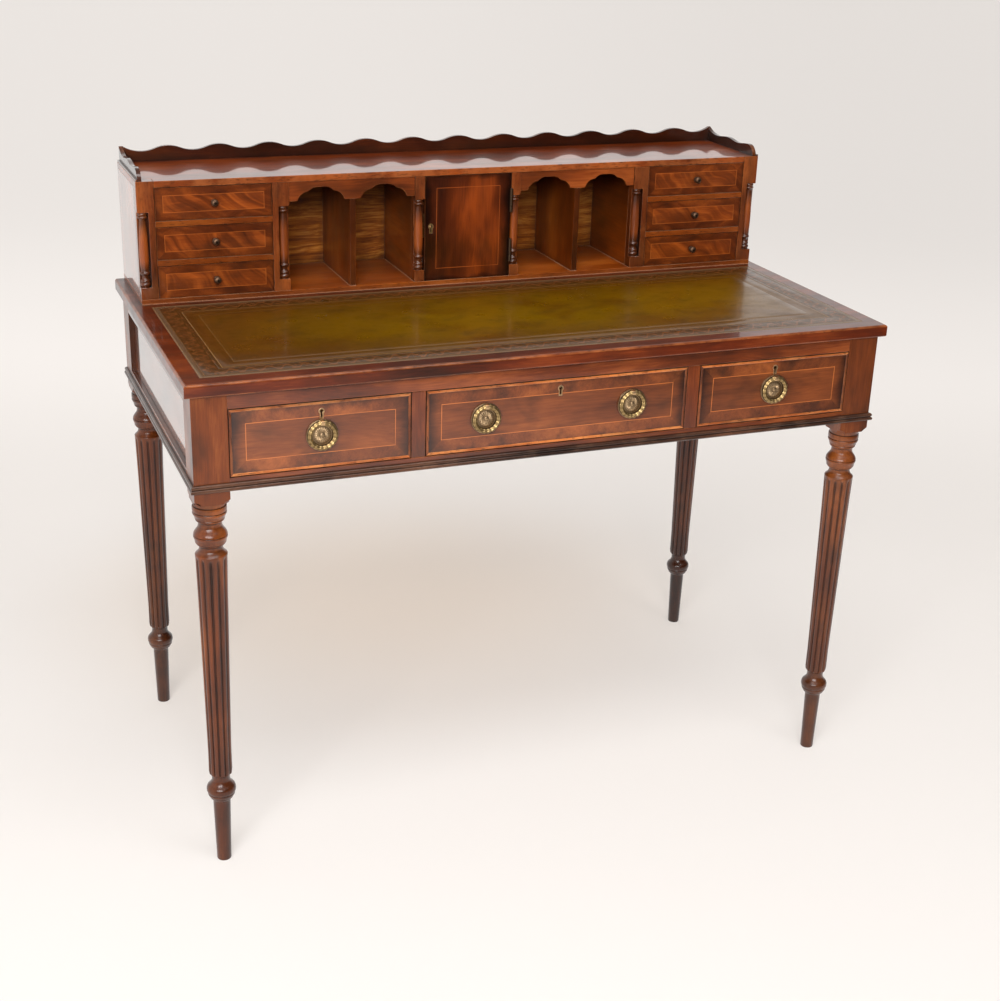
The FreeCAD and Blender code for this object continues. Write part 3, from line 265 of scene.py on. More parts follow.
class Former(NodeTree):
    """Geometry Nodes tree with named inputs, which ends in Realize Instances and Set Material."""

    KINDS = {int: "NodeSocketInt", float: "NodeSocketFloat", tuple: "NodeSocketVector"}

    def __init__(self, name: str, sizes: dict[str, Any]) -> None:
        """Makes the tree and its inputs.

        Args:
            name: the tree's name.
            sizes: input name to value.
        """
        super().__init__(bpy.data.node_groups.new(name, "GeometryNodeTree"))
        face = self.tree.interface
        face.new_socket("Geometry", in_out="INPUT", socket_type="NodeSocketGeometry")
        self.values = {}
        for key, value in sizes.items():
            made = face.new_socket(key, in_out="INPUT", socket_type=self.KINDS[type(value)])
            self.values[made.identifier] = value
        self.finish_input = face.new_socket("Finish", in_out="INPUT", socket_type="NodeSocketMaterial").identifier
        face.new_socket("Geometry", in_out="OUTPUT", socket_type="NodeSocketGeometry")
        self.given = self.node("NodeGroupInput").outputs

    def close(self, geometry: Socket) -> None:
        """Ends the tree.

        Args:
            geometry: what it hands out.
        """
        real = self.node("GeometryNodeRealizeInstances", {0: geometry}).outputs[0]
        dressed = self.node("GeometryNodeSetMaterial", {"Geometry": real, "Material": self.given["Finish"]})
        smooth = self.node("GeometryNodeSetShadeSmooth", {"Geometry": dressed.outputs[0]}).outputs[0]
        self.node("NodeGroupOutput", {0: smooth})

    def bake(self, piece: bpy.types.Object, finish: bpy.types.Material) -> None:
        """Runs the tree on a piece and keeps the result as its plain mesh.

        Args:
            piece: the piece.
            finish: material of all its faces.
        """
        modifier = piece.modifiers.new("former", "NODES")
        modifier.node_group = self.tree
        for identifier, value in self.values.items():
            modifier[identifier] = value
        modifier[self.finish_input] = finish
        graph = bpy.context.evaluated_depsgraph_get()
        mesh = bpy.data.meshes.new_from_object(piece.evaluated_get(graph))
        piece.modifiers.clear()
        piece.data = mesh


# ---------------------------------------------------------------- shells and pieces
@dataclass
class Shell:
    """Closed surface, with the values that the finishes read from it.

    Attributes:
        points: its points, one row each.
        faces: its faces, as indices into points.
        edge: 1 on each worn corner face, 0 elsewhere.
        layer: finish number of each face.
        crevice: how dark each point is marked, 0 to 1: painted shade in the hollows and recesses of wood, patina in
            the hollows of brass, and the other darkening that a piece sets.
        grain: each point's place in the wood, x along the grain.
        panel: each point's place on its panel, from the panel's centre.
        reach: half the panel's size at each point.
        SPREAD: how far apart in the wood two shells may be cut, in metres.
        FACE_DEPTH: faces that lie this near the front take the second finish of a panel.
    """

    SPREAD = 20.0
    FACE_DEPTH = 1.5 * MM
    points: np.ndarray
    faces: list[Face]
    edge: np.ndarray | None = None
    layer: np.ndarray | None = None
    crevice: np.ndarray | None = None
    grain: np.ndarray | None = None
    panel: np.ndarray | None = None
    reach: np.ndarray | None = None

    def __post_init__(self) -> None:
        """Fills in what wasn't given."""
        count = len(self.points)
        self.edge = np.zeros(len(self.faces)) if self.edge is None else self.edge
        self.layer = np.zeros(len(self.faces), int) if self.layer is None else self.layer
        self.crevice = np.zeros(count) if self.crevice is None else self.crevice
        self.panel = np.zeros((count, 3)) if self.panel is None else self.panel
        self.reach = np.ones((count, 3)) if self.reach is None else self.reach
        if self.grain is None:
            self.set_grain()

    def set_grain(self, axis: Axis | None = None) -> "Shell":
        """Lays the grain, along the longest side unless an axis is given.

        Args:
            axis: the grain's direction.

        Returns:
            This shell.
        """
        size = np.ptp(self.points, axis=0)
        along = int(np.argmax(size)) if axis is None else axis.value
        order = [along, (along + 1) % 3, (along + 2) % 3]
        self.grain = self.points[:, order] + rng.uniform(-self.SPREAD, self.SPREAD, 3)
        return self

    def set_panel(self, low: Sequence[float], high: Sequence[float], across: Sequence[int] = (0, 2),
                  facing: bool = True) -> "Shell":
        """Makes the shell a panel between two corners.

        Args:
            low: lowest corner of the panel, along its width and its height.
            high: its highest corner.
            across: axes that its width and its height run along.
            facing: gives its front faces the second finish.

        Returns:
            This shell.
        """
        centre = (np.array(low) + np.array(high)) / 2
        half = (np.array(high) - np.array(low)) / 2
        flat = self.points[:, list(across)]
        self.panel = np.column_stack([flat - centre, np.zeros(len(flat))])
        self.reach = np.tile([half[0], half[1], 0], (len(flat), 1))
        if facing:
            front = self.points[:, 1].min()
            depth = np.array([self.points[list(face), 1].max() for face in self.faces])
            self.layer = np.where(depth < front + self.FACE_DEPTH, Layer.FACING.value, self.layer)
        return self

    def moved(self, x: float = 0.0, y: float = 0.0, z: float = 0.0) -> "Shell":
        """Shell moved by a step."""
        self.points = self.points + np.array([x, y, z])
        return self

    def turned_to_front(self) -> "Shell":
        """Shell turned so that its z axis points to the front.

        Returns:
            This shell.
        """
        x, y, z = self.points.T
        self.points = np.column_stack([x, -z, y])
        return self


def cad_shells(node: str) -> list[tuple[np.ndarray, np.ndarray]]:
    """Closed solids of a frame node.

    Args:
        node: the node's name.

    Returns:
        Points and triangles of each solid, in the order they were made.
    """
    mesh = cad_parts[node].data
    places = np.empty(len(mesh.vertices) * 3, np.float32)
    mesh.vertices.foreach_get("co", places)
    places = places.reshape(-1, 3).astype(float)
    _, first, same = np.unique(np.round(places * 1e6).astype(np.int64), axis=0, return_index=True,
                               return_inverse=True)
    merged, same = places[first], same.ravel()
    solids, triangles, loose = [], [], set()
    for polygon in mesh.polygons:
        a, b, c = (int(same[v]) for v in polygon.vertices)
        if len({a, b, c}) < 3:
            continue
        triangles.append((a, b, c))
        for start, end in ((a, b), (b, c), (c, a)):
            if (end, start) in loose:
                loose.remove((end, start))
            else:
                loose.add((start, end))
        if not loose:
            used, renamed = np.unique(np.array(triangles), return_inverse=True)
            solids.append((merged[used], renamed.reshape(-1, 3)))
            triangles = []
    return solids


def opened(points: np.ndarray, faces: Iterable[Sequence[int]]) -> bmesh.types.BMesh:
    """Mesh of a surface, ready to be worked on.

    Args:
        points: points of a closed surface.
        faces: its faces.

    Returns:
        The mesh, in which no face is there twice.
    """
    work = bmesh.new()
    verts = [work.verts.new(p) for p in points]
    for face in faces:
        corners = [verts[i] for i in face]
        if work.faces.get(corners) is None:
            work.faces.new(corners)
    return work


def read_back(work: bmesh.types.BMesh) -> tuple[np.ndarray, list[Face]]:
    """Points and faces of a mesh that was opened."""
    work.verts.index_update()
    return np.array([v.co[:] for v in work.verts]), [tuple(v.index for v in f.verts) for f in work.faces]


def eased(points: np.ndarray, faces: Iterable[Sequence[int]], width: float) -> Shell:
    """Shell with its outer corners eased.

    Args:
        points: points of a closed surface.
        faces: its faces.
        width: width of the easing in metres.

    Returns:
        The shell, with its eased faces marked as worn edges.
    """
    flat, corner, sliver = math.radians(0.6), math.radians(32), 0.004 * MM
    work = opened(points, faces)
    bmesh.ops.dissolve_limit(work, angle_limit=flat, use_dissolve_boundaries=False, verts=work.verts,
                             edges=work.edges)
    made = work.faces.layers.int.new("eased")
    sharp = [e for e in work.edges if e.is_manifold and e.calc_face_angle_signed(0.0) > corner]
    result = bmesh.ops.bevel(work, geom=sharp, offset=width, offset_type="OFFSET", segments=2, profile=0.5,
                             affect="EDGES", clamp_overlap=True)
    for face in result["faces"]:
        face[made] = 1
    bmesh.ops.dissolve_degenerate(work, dist=sliver, edges=work.edges)
    marks = [float(face[made]) for face in work.faces]
    places, corners = read_back(work)
    work.free()
    order = sorted(range(len(corners)), key=lambda i: sorted(corners[i]))  # they come back in no fixed order
    return Shell(places, [corners[i] for i in order], edge=np.array([marks[i] for i in order]))


def between(rows: int, count: int, first: int = 0, closed: bool = True) -> list[Face]:
    """Faces between rows of points, which face outwards where the rows run clockwise going down.

    Args:
        rows: number of rows.
        count: points in each row.
        first: number of the first point.
        closed: joins each row's last point to its first.

    Returns:
        The faces, row by row.
    """
    made = []
    for start in range(first, first + (rows - 1) * count, count):
        for j in range(count if closed else count - 1):
            a, b = start + j, start + (j + 1) % count
            made.append((a, a + count, b + count, b))
    return made


def reversed_faces(faces: Iterable[Face]) -> list[Face]:
    """Faces turned to look the other way."""
    return [(face[0], *face[:0:-1]) for face in faces]


def board(low: Sequence[float], high: Sequence[float], width: float) -> Shell:
    """Plain board between two corners, with eased edges.

    Args:
        low: its lowest corner.
        high: its highest corner.
        width: width of the easing.

    Returns:
        The shell.
    """
    (x0, y0, z0), (x1, y1, z1) = low, high
    points = np.array([(x, y, z) for z in (z0, z1) for y in (y0, y1) for x in (x0, x1)])
    faces = [(0, 2, 3, 1), (4, 5, 7, 6), (0, 1, 5, 4), (2, 6, 7, 3), (0, 4, 6, 2), (1, 3, 7, 5)]
    return eased(points, faces, width).set_grain()


def profile(start: tuple[float, float], steps: Sequence[Sequence[tuple[float, float]]], fine: int = 8) -> Profile:
    """Outline of a turned piece.

    Args:
        start: first radius and height.
        steps: each the end of a straight run, or a point on an arc and the arc's end.
        fine: runs that an arc is cut into.

    Returns:
        Radii and heights along the outline.
    """
    line = [start]
    for step in steps:
        if len(step) == 1:
            line.append(step[0])
            continue
        a, m, b = (np.array(p) for p in (line[-1], step[0], step[1]))
        for i in range(1, fine + 1):
            t = i / fine
            pull = 4 * t * (1 - t)
            line.append(tuple(a + (b - a) * t + (m - (a + b) / 2) * pull))
    return line


def divided(line: Profile, longest: float) -> Profile:
    """Outline with its long runs divided.

    Args:
        line: the outline.
        longest: longest run that stays whole.

    Returns:
        The finer outline.
    """
    finer = [line[0]]
    for a, b in zip(line, line[1:]):
        count = max(1, math.ceil(math.dist(a, b) / longest))
        finer += [(a[0] + (b[0] - a[0]) * i / count, a[1] + (b[1] - a[1]) * i / count) for i in range(1, count + 1)]
    return finer


def turned(line: Profile, around: int, half: bool = False) -> Shell:
    """Turned shell about the z axis, closed at both ends.

    Args:
        line: radii and heights from the top down.
        around: points round the axis.
        half: keeps the half in front of the axis, with a flat back.

    Returns:
        The shell, with painted shade marked in its hollows.
    """
    radius, height = np.array(line).T
    sweep = math.pi if half else 2 * math.pi
    count = around + 1 if half else around
    angles = math.pi + sweep * np.arange(count) / around
    points = np.concatenate([np.column_stack([r * np.cos(angles), r * np.sin(angles), np.full(count, z)])
                             for r, z in line])
    last = (len(line) - 1) * count
    faces = between(len(line), count, closed=not half)
    faces += [tuple(range(count)), tuple(reversed(range(last, last + count)))]
    if half:
        rows = range(0, last + 1, count)
        faces.append(tuple([i for i in rows] + [i + around for i in reversed(rows)])[::-1])
    # painted shade in the hollows of the outline
    span, deep = 1.3 * MM, 0.5 * MM
    beside = [np.interp(height + step, height[::-1], radius[::-1]) for step in (-span, span)]
    crease_shade = np.clip((np.mean(beside, axis=0) - radius) / deep, 0, 1)
    return Shell(points, faces, crevice=np.repeat(crease_shade, count)).set_grain(Axis.Z)


class Piece:
    """Visible piece, gathered from shells."""

    def __init__(self, name: str, *finishes: "Finish") -> None:
        """Starts an empty piece.

        Args:
            name: the piece's name.
            finishes: its finishes, by layer number.
        """
        self.name = name
        self.finishes = finishes
        self.shells: list[Shell] = []

    def add(self, *shells: Shell) -> "Piece":
        """Adds shells."""
        self.shells += shells
        return self

    def build(self, smooth_angle: float = 40.0) -> bpy.types.Object:
        """Makes the object.

        Args:
            smooth_angle: widest angle in degrees that shades as a curve.

        Returns:
            The object, at the origin.
        """
        starts = np.cumsum([0] + [len(s.points) for s in self.shells])
        mesh = bpy.data.meshes.new(self.name)
        faces = [tuple(int(i) + int(start) for i in face)
                 for shell, start in zip(self.shells, starts) for face in shell.faces]
        mesh.from_pydata(np.concatenate([s.points for s in self.shells]).tolist(), [], faces)
        for key in ("edge", "crevice", "grain", "panel", "reach"):
            values = np.concatenate([getattr(s, key) for s in self.shells]).astype(np.float32)
            kind, field = ("FLOAT_VECTOR", "vector") if values.ndim == 2 else ("FLOAT", "value")
            held = mesh.attributes.new(key, kind, "FACE" if key == "edge" else "POINT")
            held.data.foreach_set(field, values.ravel())
        for finish in self.finishes:
            mesh.materials.append(finish.material())
        mesh.polygons.foreach_set("material_index", np.concatenate([s.layer for s in self.shells]).astype(np.int32))
        mesh.shade_smooth()
        mesh.set_sharp_from_angle(angle=math.radians(smooth_angle))
        mesh.validate()
        made = bpy.data.objects.new(self.name, mesh)
        bpy.context.scene.collection.objects.link(made)
        return made


def even_shading(piece: bpy.types.Object) -> None:
    """Keeps a piece's flat faces flat beside its eased edges.

    Args:
        piece: the piece.
    """
    modifier = piece.modifiers.new("even shading", "WEIGHTED_NORMAL")
    modifier.keep_sharp = True
    modifier.weight = 80


def settle(piece: bpy.types.Object, body: str, slot: str, *nodes: str) -> None:
    """Ties a finished piece to the frame.

    Args:
        piece: the piece.
        body: body that it rides on.
        slot: the record's material slot; not used.
        nodes: frame nodes that it stands for.
    """
    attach(piece, body)
    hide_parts(*nodes)
    LOG.info("%s: %d faces on %s", piece.name, len(piece.data.polygons), body)


# ---------------------------------------------------------------- finishes
class Finish:
    """Surface finish, made once and shared."""

    made: dict[str, bpy.types.Material] = {}
    name: str

    def material(self) -> bpy.types.Material:
        """The finish's material.

        Returns:
            The material, which is mixed only once.
        """
        if self.name not in Finish.made:
            Finish.made[self.name] = self.mixed()
        return Finish.made[self.name]

    def mixed(self) -> bpy.types.Material:
        """Builds the material."""
        raise NotImplementedError


@dataclass(frozen=True)
class Wood(Finish):
    """Polished wood, with grain, worn edges, painted shade in the corners and hollows and, on a panel, a border and
    a string.

    Attributes:
        name: the finish's name.
        dark, mid, light: colours of the grain.
        figure: how the grain shows.
        turn: axis of the grain on a piece that carries no grain of its own.
        contrast: spread of the grain between dark and light.
        worn: colour of the rubbed edges.
        wear: how much of each edge is rubbed.
        border: width of the darkened border of a panel, 0 for none.
        border_shade: darkness of the border.
        inset: distance of the inlaid string from the panel's edge, 0 for none.
        string: colour of the string.
        string_width: width of the string.
        band_shade: how dark the veneer is outside the string.
        crossband: lays the grain across the border.
        smoke: weight of the grey mottling.
        flecks: weight of the dark flecks along the edges.
        dust: weight of the pale dust in the seams.
        coat_ior: refraction of the polish.
        roughness: roughness of the wood.
        coat: weight of the polish.
        coat_roughness: roughness of the polish.
        painted_shade: weight of the painted shade in the corners.
        shade_reach: how far the painted shade spreads from a corner.
        dust_reach: how far the dust spreads from a seam.
        SMOKE, FLECK, SHADE_COLOUR, DUST: colours of the mottling, the flecks, the painted shade and the dust.
        GRAIN_SPREAD: spread of the grain at a contrast of 1.
    """

    SMOKE = shade(46, 26, 14)
    FLECK = shade(38, 17, 8)
    SHADE_COLOUR = shade(20, 9, 5)
    DUST = shade(196, 150, 118)
    GRAIN_SPREAD = 2.6
    name: str
    dark: Colour
    mid: Colour
    light: Colour
    figure: Figure = Figure.STRAIGHT
    turn: Axis | None = None
    contrast: float = 1.0
    worn: Colour = shade(168, 98, 52)
    wear: float = 0.55
    border: float = 0.0
    border_shade: float = 0.75
    inset: float = 0.0
    string: Colour = shade(205, 128, 62)
    string_width: float = 0.7 * MM
    band_shade: float = 0.0
    crossband: bool = False
    smoke: float = 0.45
    flecks: float = 0.8
    dust: float = 0.0
    coat_ior: float = 1.6
    roughness: float = 0.34
    coat: float = 0.75
    coat_roughness: float = 0.05
    painted_shade: float = 0.8
    shade_reach: float = 16 * MM
    dust_reach: float = 4 * MM

    def place(self, tree: Shader) -> Socket:
        """Place in the wood, x along the grain.

        Args:
            tree: the shader.

        Returns:
            The place's socket.
        """
        if self.turn is None:
            return tree.attribute("grain", "Vector")
        place = tree.parts(tree.object_place())
        along = self.turn.value
        return tree.joined(place[along], place[(along + 1) % 3], place[(along + 2) % 3])

    def grain_value(self, tree: Shader, place: Socket) -> Socket:
        """Brightness of the grain.

        Args:
            tree: the shader.
            place: place in the wood.

        Returns:
            0 to 1, about 0.5 in the middle.
        """
        sway = tree.noise(place, (2.5, 9, 9), 2)
        bent = tree.vector("ADD", place, tree.vector("MULTIPLY", tree.joined(0.0, sway, sway), (0, 0.05, 0.05)))
        bands = tree.noise(bent, (4.5, 110, 110), 4, 0.68)
        fibres = tree.noise(bent, (22, 420, 420), 3, 0.7)
        broad = tree.noise(place, (5, 14, 14), 3)
        if self.figure is Figure.FLAME:
            x, y, z = tree.parts(place)
            pull = tree.noise(place, (7, 9, 9), 2)
            lean = tree.math("MULTIPLY_ADD", pull, 0.16, tree.math("MULTIPLY_ADD", z, 1.1, x))
            flame = tree.noise(tree.joined(lean, y, z), (58, 9, 9), 3, 0.55, 0.4)
            patch = tree.noise(place, (12, 20, 20), 2)
            return self.weighed(tree, ((bands, 0.08), (fibres, 0.12), (flame, 0.44), (patch, 0.36)))
        if self.figure is Figure.CLOUDED:
            moved = tree.vector("ADD", place, (0.4, 0.02, 0.0))
            patch = tree.noise(moved, (6, 17, 17), 2, 0.5, 0.4)
            return self.weighed(tree, ((bands, 0.12), (fibres, 0.16), (patch, 0.72)))
        if self.figure is Figure.PLAIN:
            return self.weighed(tree, ((bands, 0.5), (fibres, 0.35), (broad, 0.15)))
        return self.weighed(tree, ((bands, 0.16), (fibres, 0.2), (broad, 0.64)))

    def weighed(self, tree: Shader, parts: Sequence[tuple[Socket, float]]) -> Socket:
        """Weighted sum, spread about its middle by the contrast.

        Args:
            tree: the shader.
            parts: values and their weights.

        Returns:
            0 to 1, about 0.5 in the middle.
        """
        total: Any = 0.0
        for value, weight in parts:
            total = tree.math("MULTIPLY_ADD", value, weight, total)
        spread = self.GRAIN_SPREAD * self.contrast
        return tree.math("MULTIPLY_ADD", tree.math("SUBTRACT", total, 0.5), spread, 0.5, clamp=True)

    def bordered(self, tree: Shader, colour: Socket, cloud: Socket, side: Socket, level: Socket) -> Socket:
        """Colour with the dark border of a panel.

        Args:
            tree: the shader.
            colour: colour of the wood.
            cloud: noise that frays the border.
            side: distance to the nearest upright edge.
            level: distance to the nearest level edge.

        Returns:
            The colour's socket.
        """
        ragged = tree.times(tree.math("SUBTRACT", cloud, 0.5), self.border * 1.6)
        shadow: Any = 0.0
        for distance, width, weight in ((tree.math("ADD", side, ragged), 1.7, 1.0),
                                        (tree.math("ADD", level, ragged), 0.7, 0.7),
                                        (tree.math("ADD", side, level), 4.0, 0.8)):
            share = tree.rise(distance, 0.0, self.border * width, self.border_shade * weight, 0.0)
            shadow = tree.math("MAXIMUM", shadow, share)
        return tree.mix(shadow, colour, tuple(c * 0.25 for c in self.dark))

    def strung(self, tree: Shader, colour: Socket, cloud: Socket, margin: Socket) -> Socket:
        """Colour with the inlaid string, and darker veneer outside it.

        Args:
            tree: the shader.
            colour: colour of the wood.
            cloud: noise that wears the string.
            margin: distance to the panel's nearest edge.

        Returns:
            The colour's socket.
        """
        outside = tree.rise(margin, self.inset - MM, self.inset, self.band_shade, 0.0)
        colour = tree.mix(outside, colour, self.dark)
        line = tree.rise(tree.away_from(margin, self.inset), self.string_width * 0.5, self.string_width, 1.0, 0.0)
        return tree.mix(tree.times(line, tree.rise(cloud, 0.25, 0.6, 0.35, 0.85)), colour, self.string)

    def aged(self, tree: Shader, colour: Socket, cloud: Socket, place: Socket) -> Socket:
        """Colour with rubbed and flecked edges, painted shade in its hollows and corners, and dust in the corners.

        Args:
            tree: the shader.
            colour: colour of the wood.
            cloud: noise that frays each of them.
            place: place in the wood.

        Returns:
            The colour's socket.
        """
        edge = tree.attribute("edge")
        rubbed = tree.times(edge, tree.rise(cloud, 0.62 - 0.4 * self.wear, 0.7, 0.15, 1.0))
        colour = tree.mix(tree.times(rubbed, self.wear, clamp=True), colour, self.worn)
        fleck = tree.rise(tree.noise(place, (110, 420, 420), 3, 0.6), 0.54, 0.66, 0.0, self.flecks)
        colour = tree.mix(tree.times(fleck, edge), colour, self.FLECK)
        # painted shade: darker by the marked crevices, and in corners that lie near other faces
        crease_shade = tree.times(tree.attribute("crevice"), tree.rise(cloud, 0.2, 0.7, 0.9, 0.7))
        ragged = tree.math("MULTIPLY_ADD", tree.math("SUBTRACT", cloud, 0.5), 0.5, tree.open_air(self.shade_reach))
        corner = tree.rise(ragged, 0.3, 0.9, self.painted_shade, 0.0)
        colour = tree.mix(tree.math("MAXIMUM", crease_shade, corner), colour, self.SHADE_COLOUR)
        if self.dust > 0:
            seam = tree.rise(tree.open_air(self.dust_reach), 0.45, 0.75, self.dust, 0.0)
            colour = tree.mix(seam, colour, self.DUST)
        return colour

    def mixed(self) -> bpy.types.Material:
        """Builds the material.

        Returns:
            The material.
        """
        tree = Shader(self.name)
        place = self.place(tree)
        if self.border > 0 or self.inset > 0:
            side, level = tree.margins()
        if self.crossband:
            x, y, z = tree.parts(place)
            band = tree.times(tree.math("LESS_THAN", level, self.inset), tree.math("LESS_THAN", level, side))
            turned_place = tree.joined(y, x, z)
            place = tree.node("ShaderNodeMix", {0: band, 4: place, 5: turned_place}, data_type="VECTOR").outputs[1]
        value = self.grain_value(tree, place)
        colour = tree.ramp(value, ((0.0, self.dark), (0.5, self.mid), (1.0, self.light)))
        cloud = tree.noise(place, (30, 30, 30), 3)
        if self.smoke > 0:
            drift = tree.noise(place, (9, 26, 26), 3, 0.6, 0.3)
            colour = tree.mix(tree.rise(drift, 0.45, 0.72, 0.0, self.smoke), colour, self.SMOKE)
        if self.border > 0:
            colour = self.bordered(tree, colour, cloud, side, level)
        if self.inset > 0:
            colour = self.strung(tree, colour, cloud, tree.math("MINIMUM", side, level))
        colour = self.aged(tree, colour, cloud, place)
        pores = tree.noise(place, (60, 1500, 1500), 2)
        mottle = tree.noise(place, (18, 40, 40), 3)
        return tree.surface({"Base Color": colour,
                             "Roughness": tree.math("MULTIPLY_ADD", mottle, 0.22, self.roughness - 0.1),
                             "Normal": tree.bump(pores, 0.1 * MM, 0.35), "Specular IOR Level": 0.15,
                             "Coat Weight": self.coat, "Coat Roughness": self.coat_roughness,
                             "Coat IOR": self.coat_ior})


@dataclass(frozen=True)
class Hide(Finish):
    """Dyed leather with blind-tooled and gilt lines round its edge.

    Attributes:
        name: the finish's name.
        centre, rim, deep: colours of the middle, the edges and the stains.
        shadow: colour of the painted dark reflection of the cabinet along the back.
        ground, flower: colours of the tooled band and of its pattern.
        outer_band, gilt: colours of the outer edge and of the lines.
        strip_dark, strip_light: colours of the stained strip along the back.
        tooled: width of the tooled band.
        wave, swing, vine: length and height of the vine's waves, and its distance from the edge.
        lines: each line's distance from the edge, its width and its weight.
    """

    name: str
    centre: Colour
    rim: Colour
    deep: Colour
    shadow: Colour = shade(56, 26, 6)
    ground: Colour = shade(52, 34, 8)
    flower: Colour = shade(122, 72, 34)
    outer_band: Colour = shade(98, 78, 58)
    gilt: Colour = shade(140, 104, 58)
    strip_dark: Colour = shade(44, 14, 4)
    strip_light: Colour = shade(92, 34, 9)
    tooled: float = 39 * MM
    wave: float = 26 * MM
    swing: float = 8 * MM
    vine: float = 21 * MM
    lines: tuple[tuple[float, float, float], ...] = (
        (1.2 * MM, 0.9 * MM, 0.8), (8.6 * MM, 0.6 * MM, 0.35), (33 * MM, 0.6 * MM, 0.12),
        (39 * MM, 0.9 * MM, 0.9), (60 * MM, 0.9 * MM, 0.35))

    def dyed(self, tree: Shader, place: Socket, cloud: Socket, patch: Socket, margin: Socket) -> Socket:
        """Colour of the dyed leather before it is tooled, with a painted dark reflection of the cabinet along the
        back.

        Args:
            tree: the shader.
            place: place on the desk.
            cloud: broad noise.
            patch: finer noise.
            margin: distance to the nearest edge.

        Returns:
            The colour's socket.
        """
        x, y, _ = tree.parts(place)
        green = tree.times(tree.rise(cloud, 0.26, 0.6, 0.3, 1.0), tree.rise(x, -0.46, -0.1, 0.35, 1.0))
        colour = tree.mix(green, self.rim, self.centre)
        colour = tree.mix(tree.rise(margin, 0.0, 0.16, 0.85, 0.0), colour, self.rim)
        colour = tree.mix(tree.rise(patch, 0.5, 0.78, 0.0, 0.4), colour, self.deep)
        crease = tree.noise(place, (120, 240, 1), 3, 0.6, 1.5)
        colour = tree.mix(tree.rise(crease, 0.56, 0.7, 0.0, 0.45), colour, self.deep)
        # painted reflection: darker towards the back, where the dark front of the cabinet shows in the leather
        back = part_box("leather_skiver")[1].y
        return tree.mix(tree.rise(y, back - 60 * MM, back - 20 * MM, 0.0, 0.6), colour, self.shadow)

    def mixed(self) -> bpy.types.Material:
        """Builds the material.

        Returns:
            The material.
        """
        tree = Shader(self.name)
        place = tree.object_place()
        side, end = tree.margins()
        margin = tree.math("MINIMUM", side, end)
        across = tree.parts(tree.vector("ABSOLUTE", tree.attribute("panel", "Vector")))
        along = tree.blend(tree.math("LESS_THAN", end, side), across[1], across[0])
        cloud = tree.noise(place, (7, 9, 9), 4, 0.6, 0.4)
        patch = tree.noise(place, (22, 34, 34), 4, 0.6)
        colour = self.dyed(tree, place, cloud, patch, margin)
        inner = tree.rise(margin, self.tooled - MM, self.tooled, 1.0, 0.0)
        band = tree.times(inner, tree.rise(margin, 9 * MM, 10 * MM))
        bend = tree.math("SINE", tree.times(along, 2 * math.pi / self.wave))
        vine = tree.away_from(margin, tree.math("MULTIPLY_ADD", bend, self.swing, self.vine))
        vine = tree.rise(vine, 1.6 * MM, 3.2 * MM, 1.0, 0.0)
        fill = tree.noise(tree.joined(along, margin, 0.0), (150, 190, 0), 1)
        pattern = tree.times(band, tree.math("MAXIMUM", vine, tree.rise(fill, 0.55, 0.62, 0.0, 0.8)))
        stroke: Any = 0.0
        for inset, width, weight in self.lines:
            line = tree.rise(tree.away_from(margin, inset), width * 0.5, width, weight, 0.0)
            stroke = tree.math("MAXIMUM", stroke, line)
        colour = tree.mix(tree.rise(margin, 7.6 * MM, 8.4 * MM, 0.8, 0.0), colour, self.outer_band)
        colour = tree.mix(tree.times(band, 0.6), colour, self.ground)
        colour = tree.mix(tree.times(pattern, 0.7), colour, self.flower)
        lit = tree.times(stroke, tree.rise(patch, 0.3, 0.6, 0.45, 0.9))
        colour = tree.mix(lit, colour, self.gilt)
        strip = tree.mix(tree.rise(cloud, 0.3, 0.65), self.strip_dark, self.strip_light)
        colour = tree.mix(tree.rise(margin, -0.4 * MM, 0.0, 1.0, 0.0), colour, strip)
        pebble = tree.node("ShaderNodeTexVoronoi", {"Vector": place, "Scale": 900.0}, feature="SMOOTH_F1").outputs[0]
        raised = tree.math("SUBTRACT", 1.0, tree.math("MAXIMUM", pattern, stroke))
        pressed = tree.math("ADD", tree.times(pebble, 0.25), raised)
        return tree.surface({"Base Color": colour, "Roughness": tree.rise(patch, 0.3, 0.8, 0.27, 0.42),
                             "Normal": tree.bump(pressed, 0.12 * MM, 0.6), "Coat Weight": 0.2,
                             "Coat Roughness": 0.1, "Specular IOR Level": 0.15})


@dataclass(frozen=True)
class Metal(Finish):
    """Cast or turned metal, dark in its hollows.

    Attributes:
        name: the finish's name.
        bright, dull: colours of the rubbed and of the dark places.
        roughness: roughness where it is bright.
        hollows: weight of the dark patina in the hollows.
    """

    name: str
    bright: Colour
    dull: Colour
    roughness: float = 0.3
    hollows: float = 0.9

    def mixed(self) -> bpy.types.Material:
        """Builds the material.

        Returns:
            The material.
        """
        tree = Shader(self.name)
        place = tree.object_place()
        blotch = tree.noise(place, (260, 260, 260), 4, 0.65)
        grit = tree.noise(place, (1800, 1800, 1800), 2)
        darkening = tree.math("MAXIMUM", tree.rise(blotch, 0.48, 0.72, 0.0, 0.75),
                          tree.times(tree.attribute("crevice"), self.hollows), clamp=True)
        colour = tree.mix(darkening, self.bright, self.dull)
        roughness = tree.math("MULTIPLY_ADD", darkening, 0.3, self.roughness)
        return tree.surface({"Base Color": colour, "Metallic": 1.0, "Roughness": roughness,
                             "Normal": tree.bump(grit, 0.08 * MM, 0.3)})


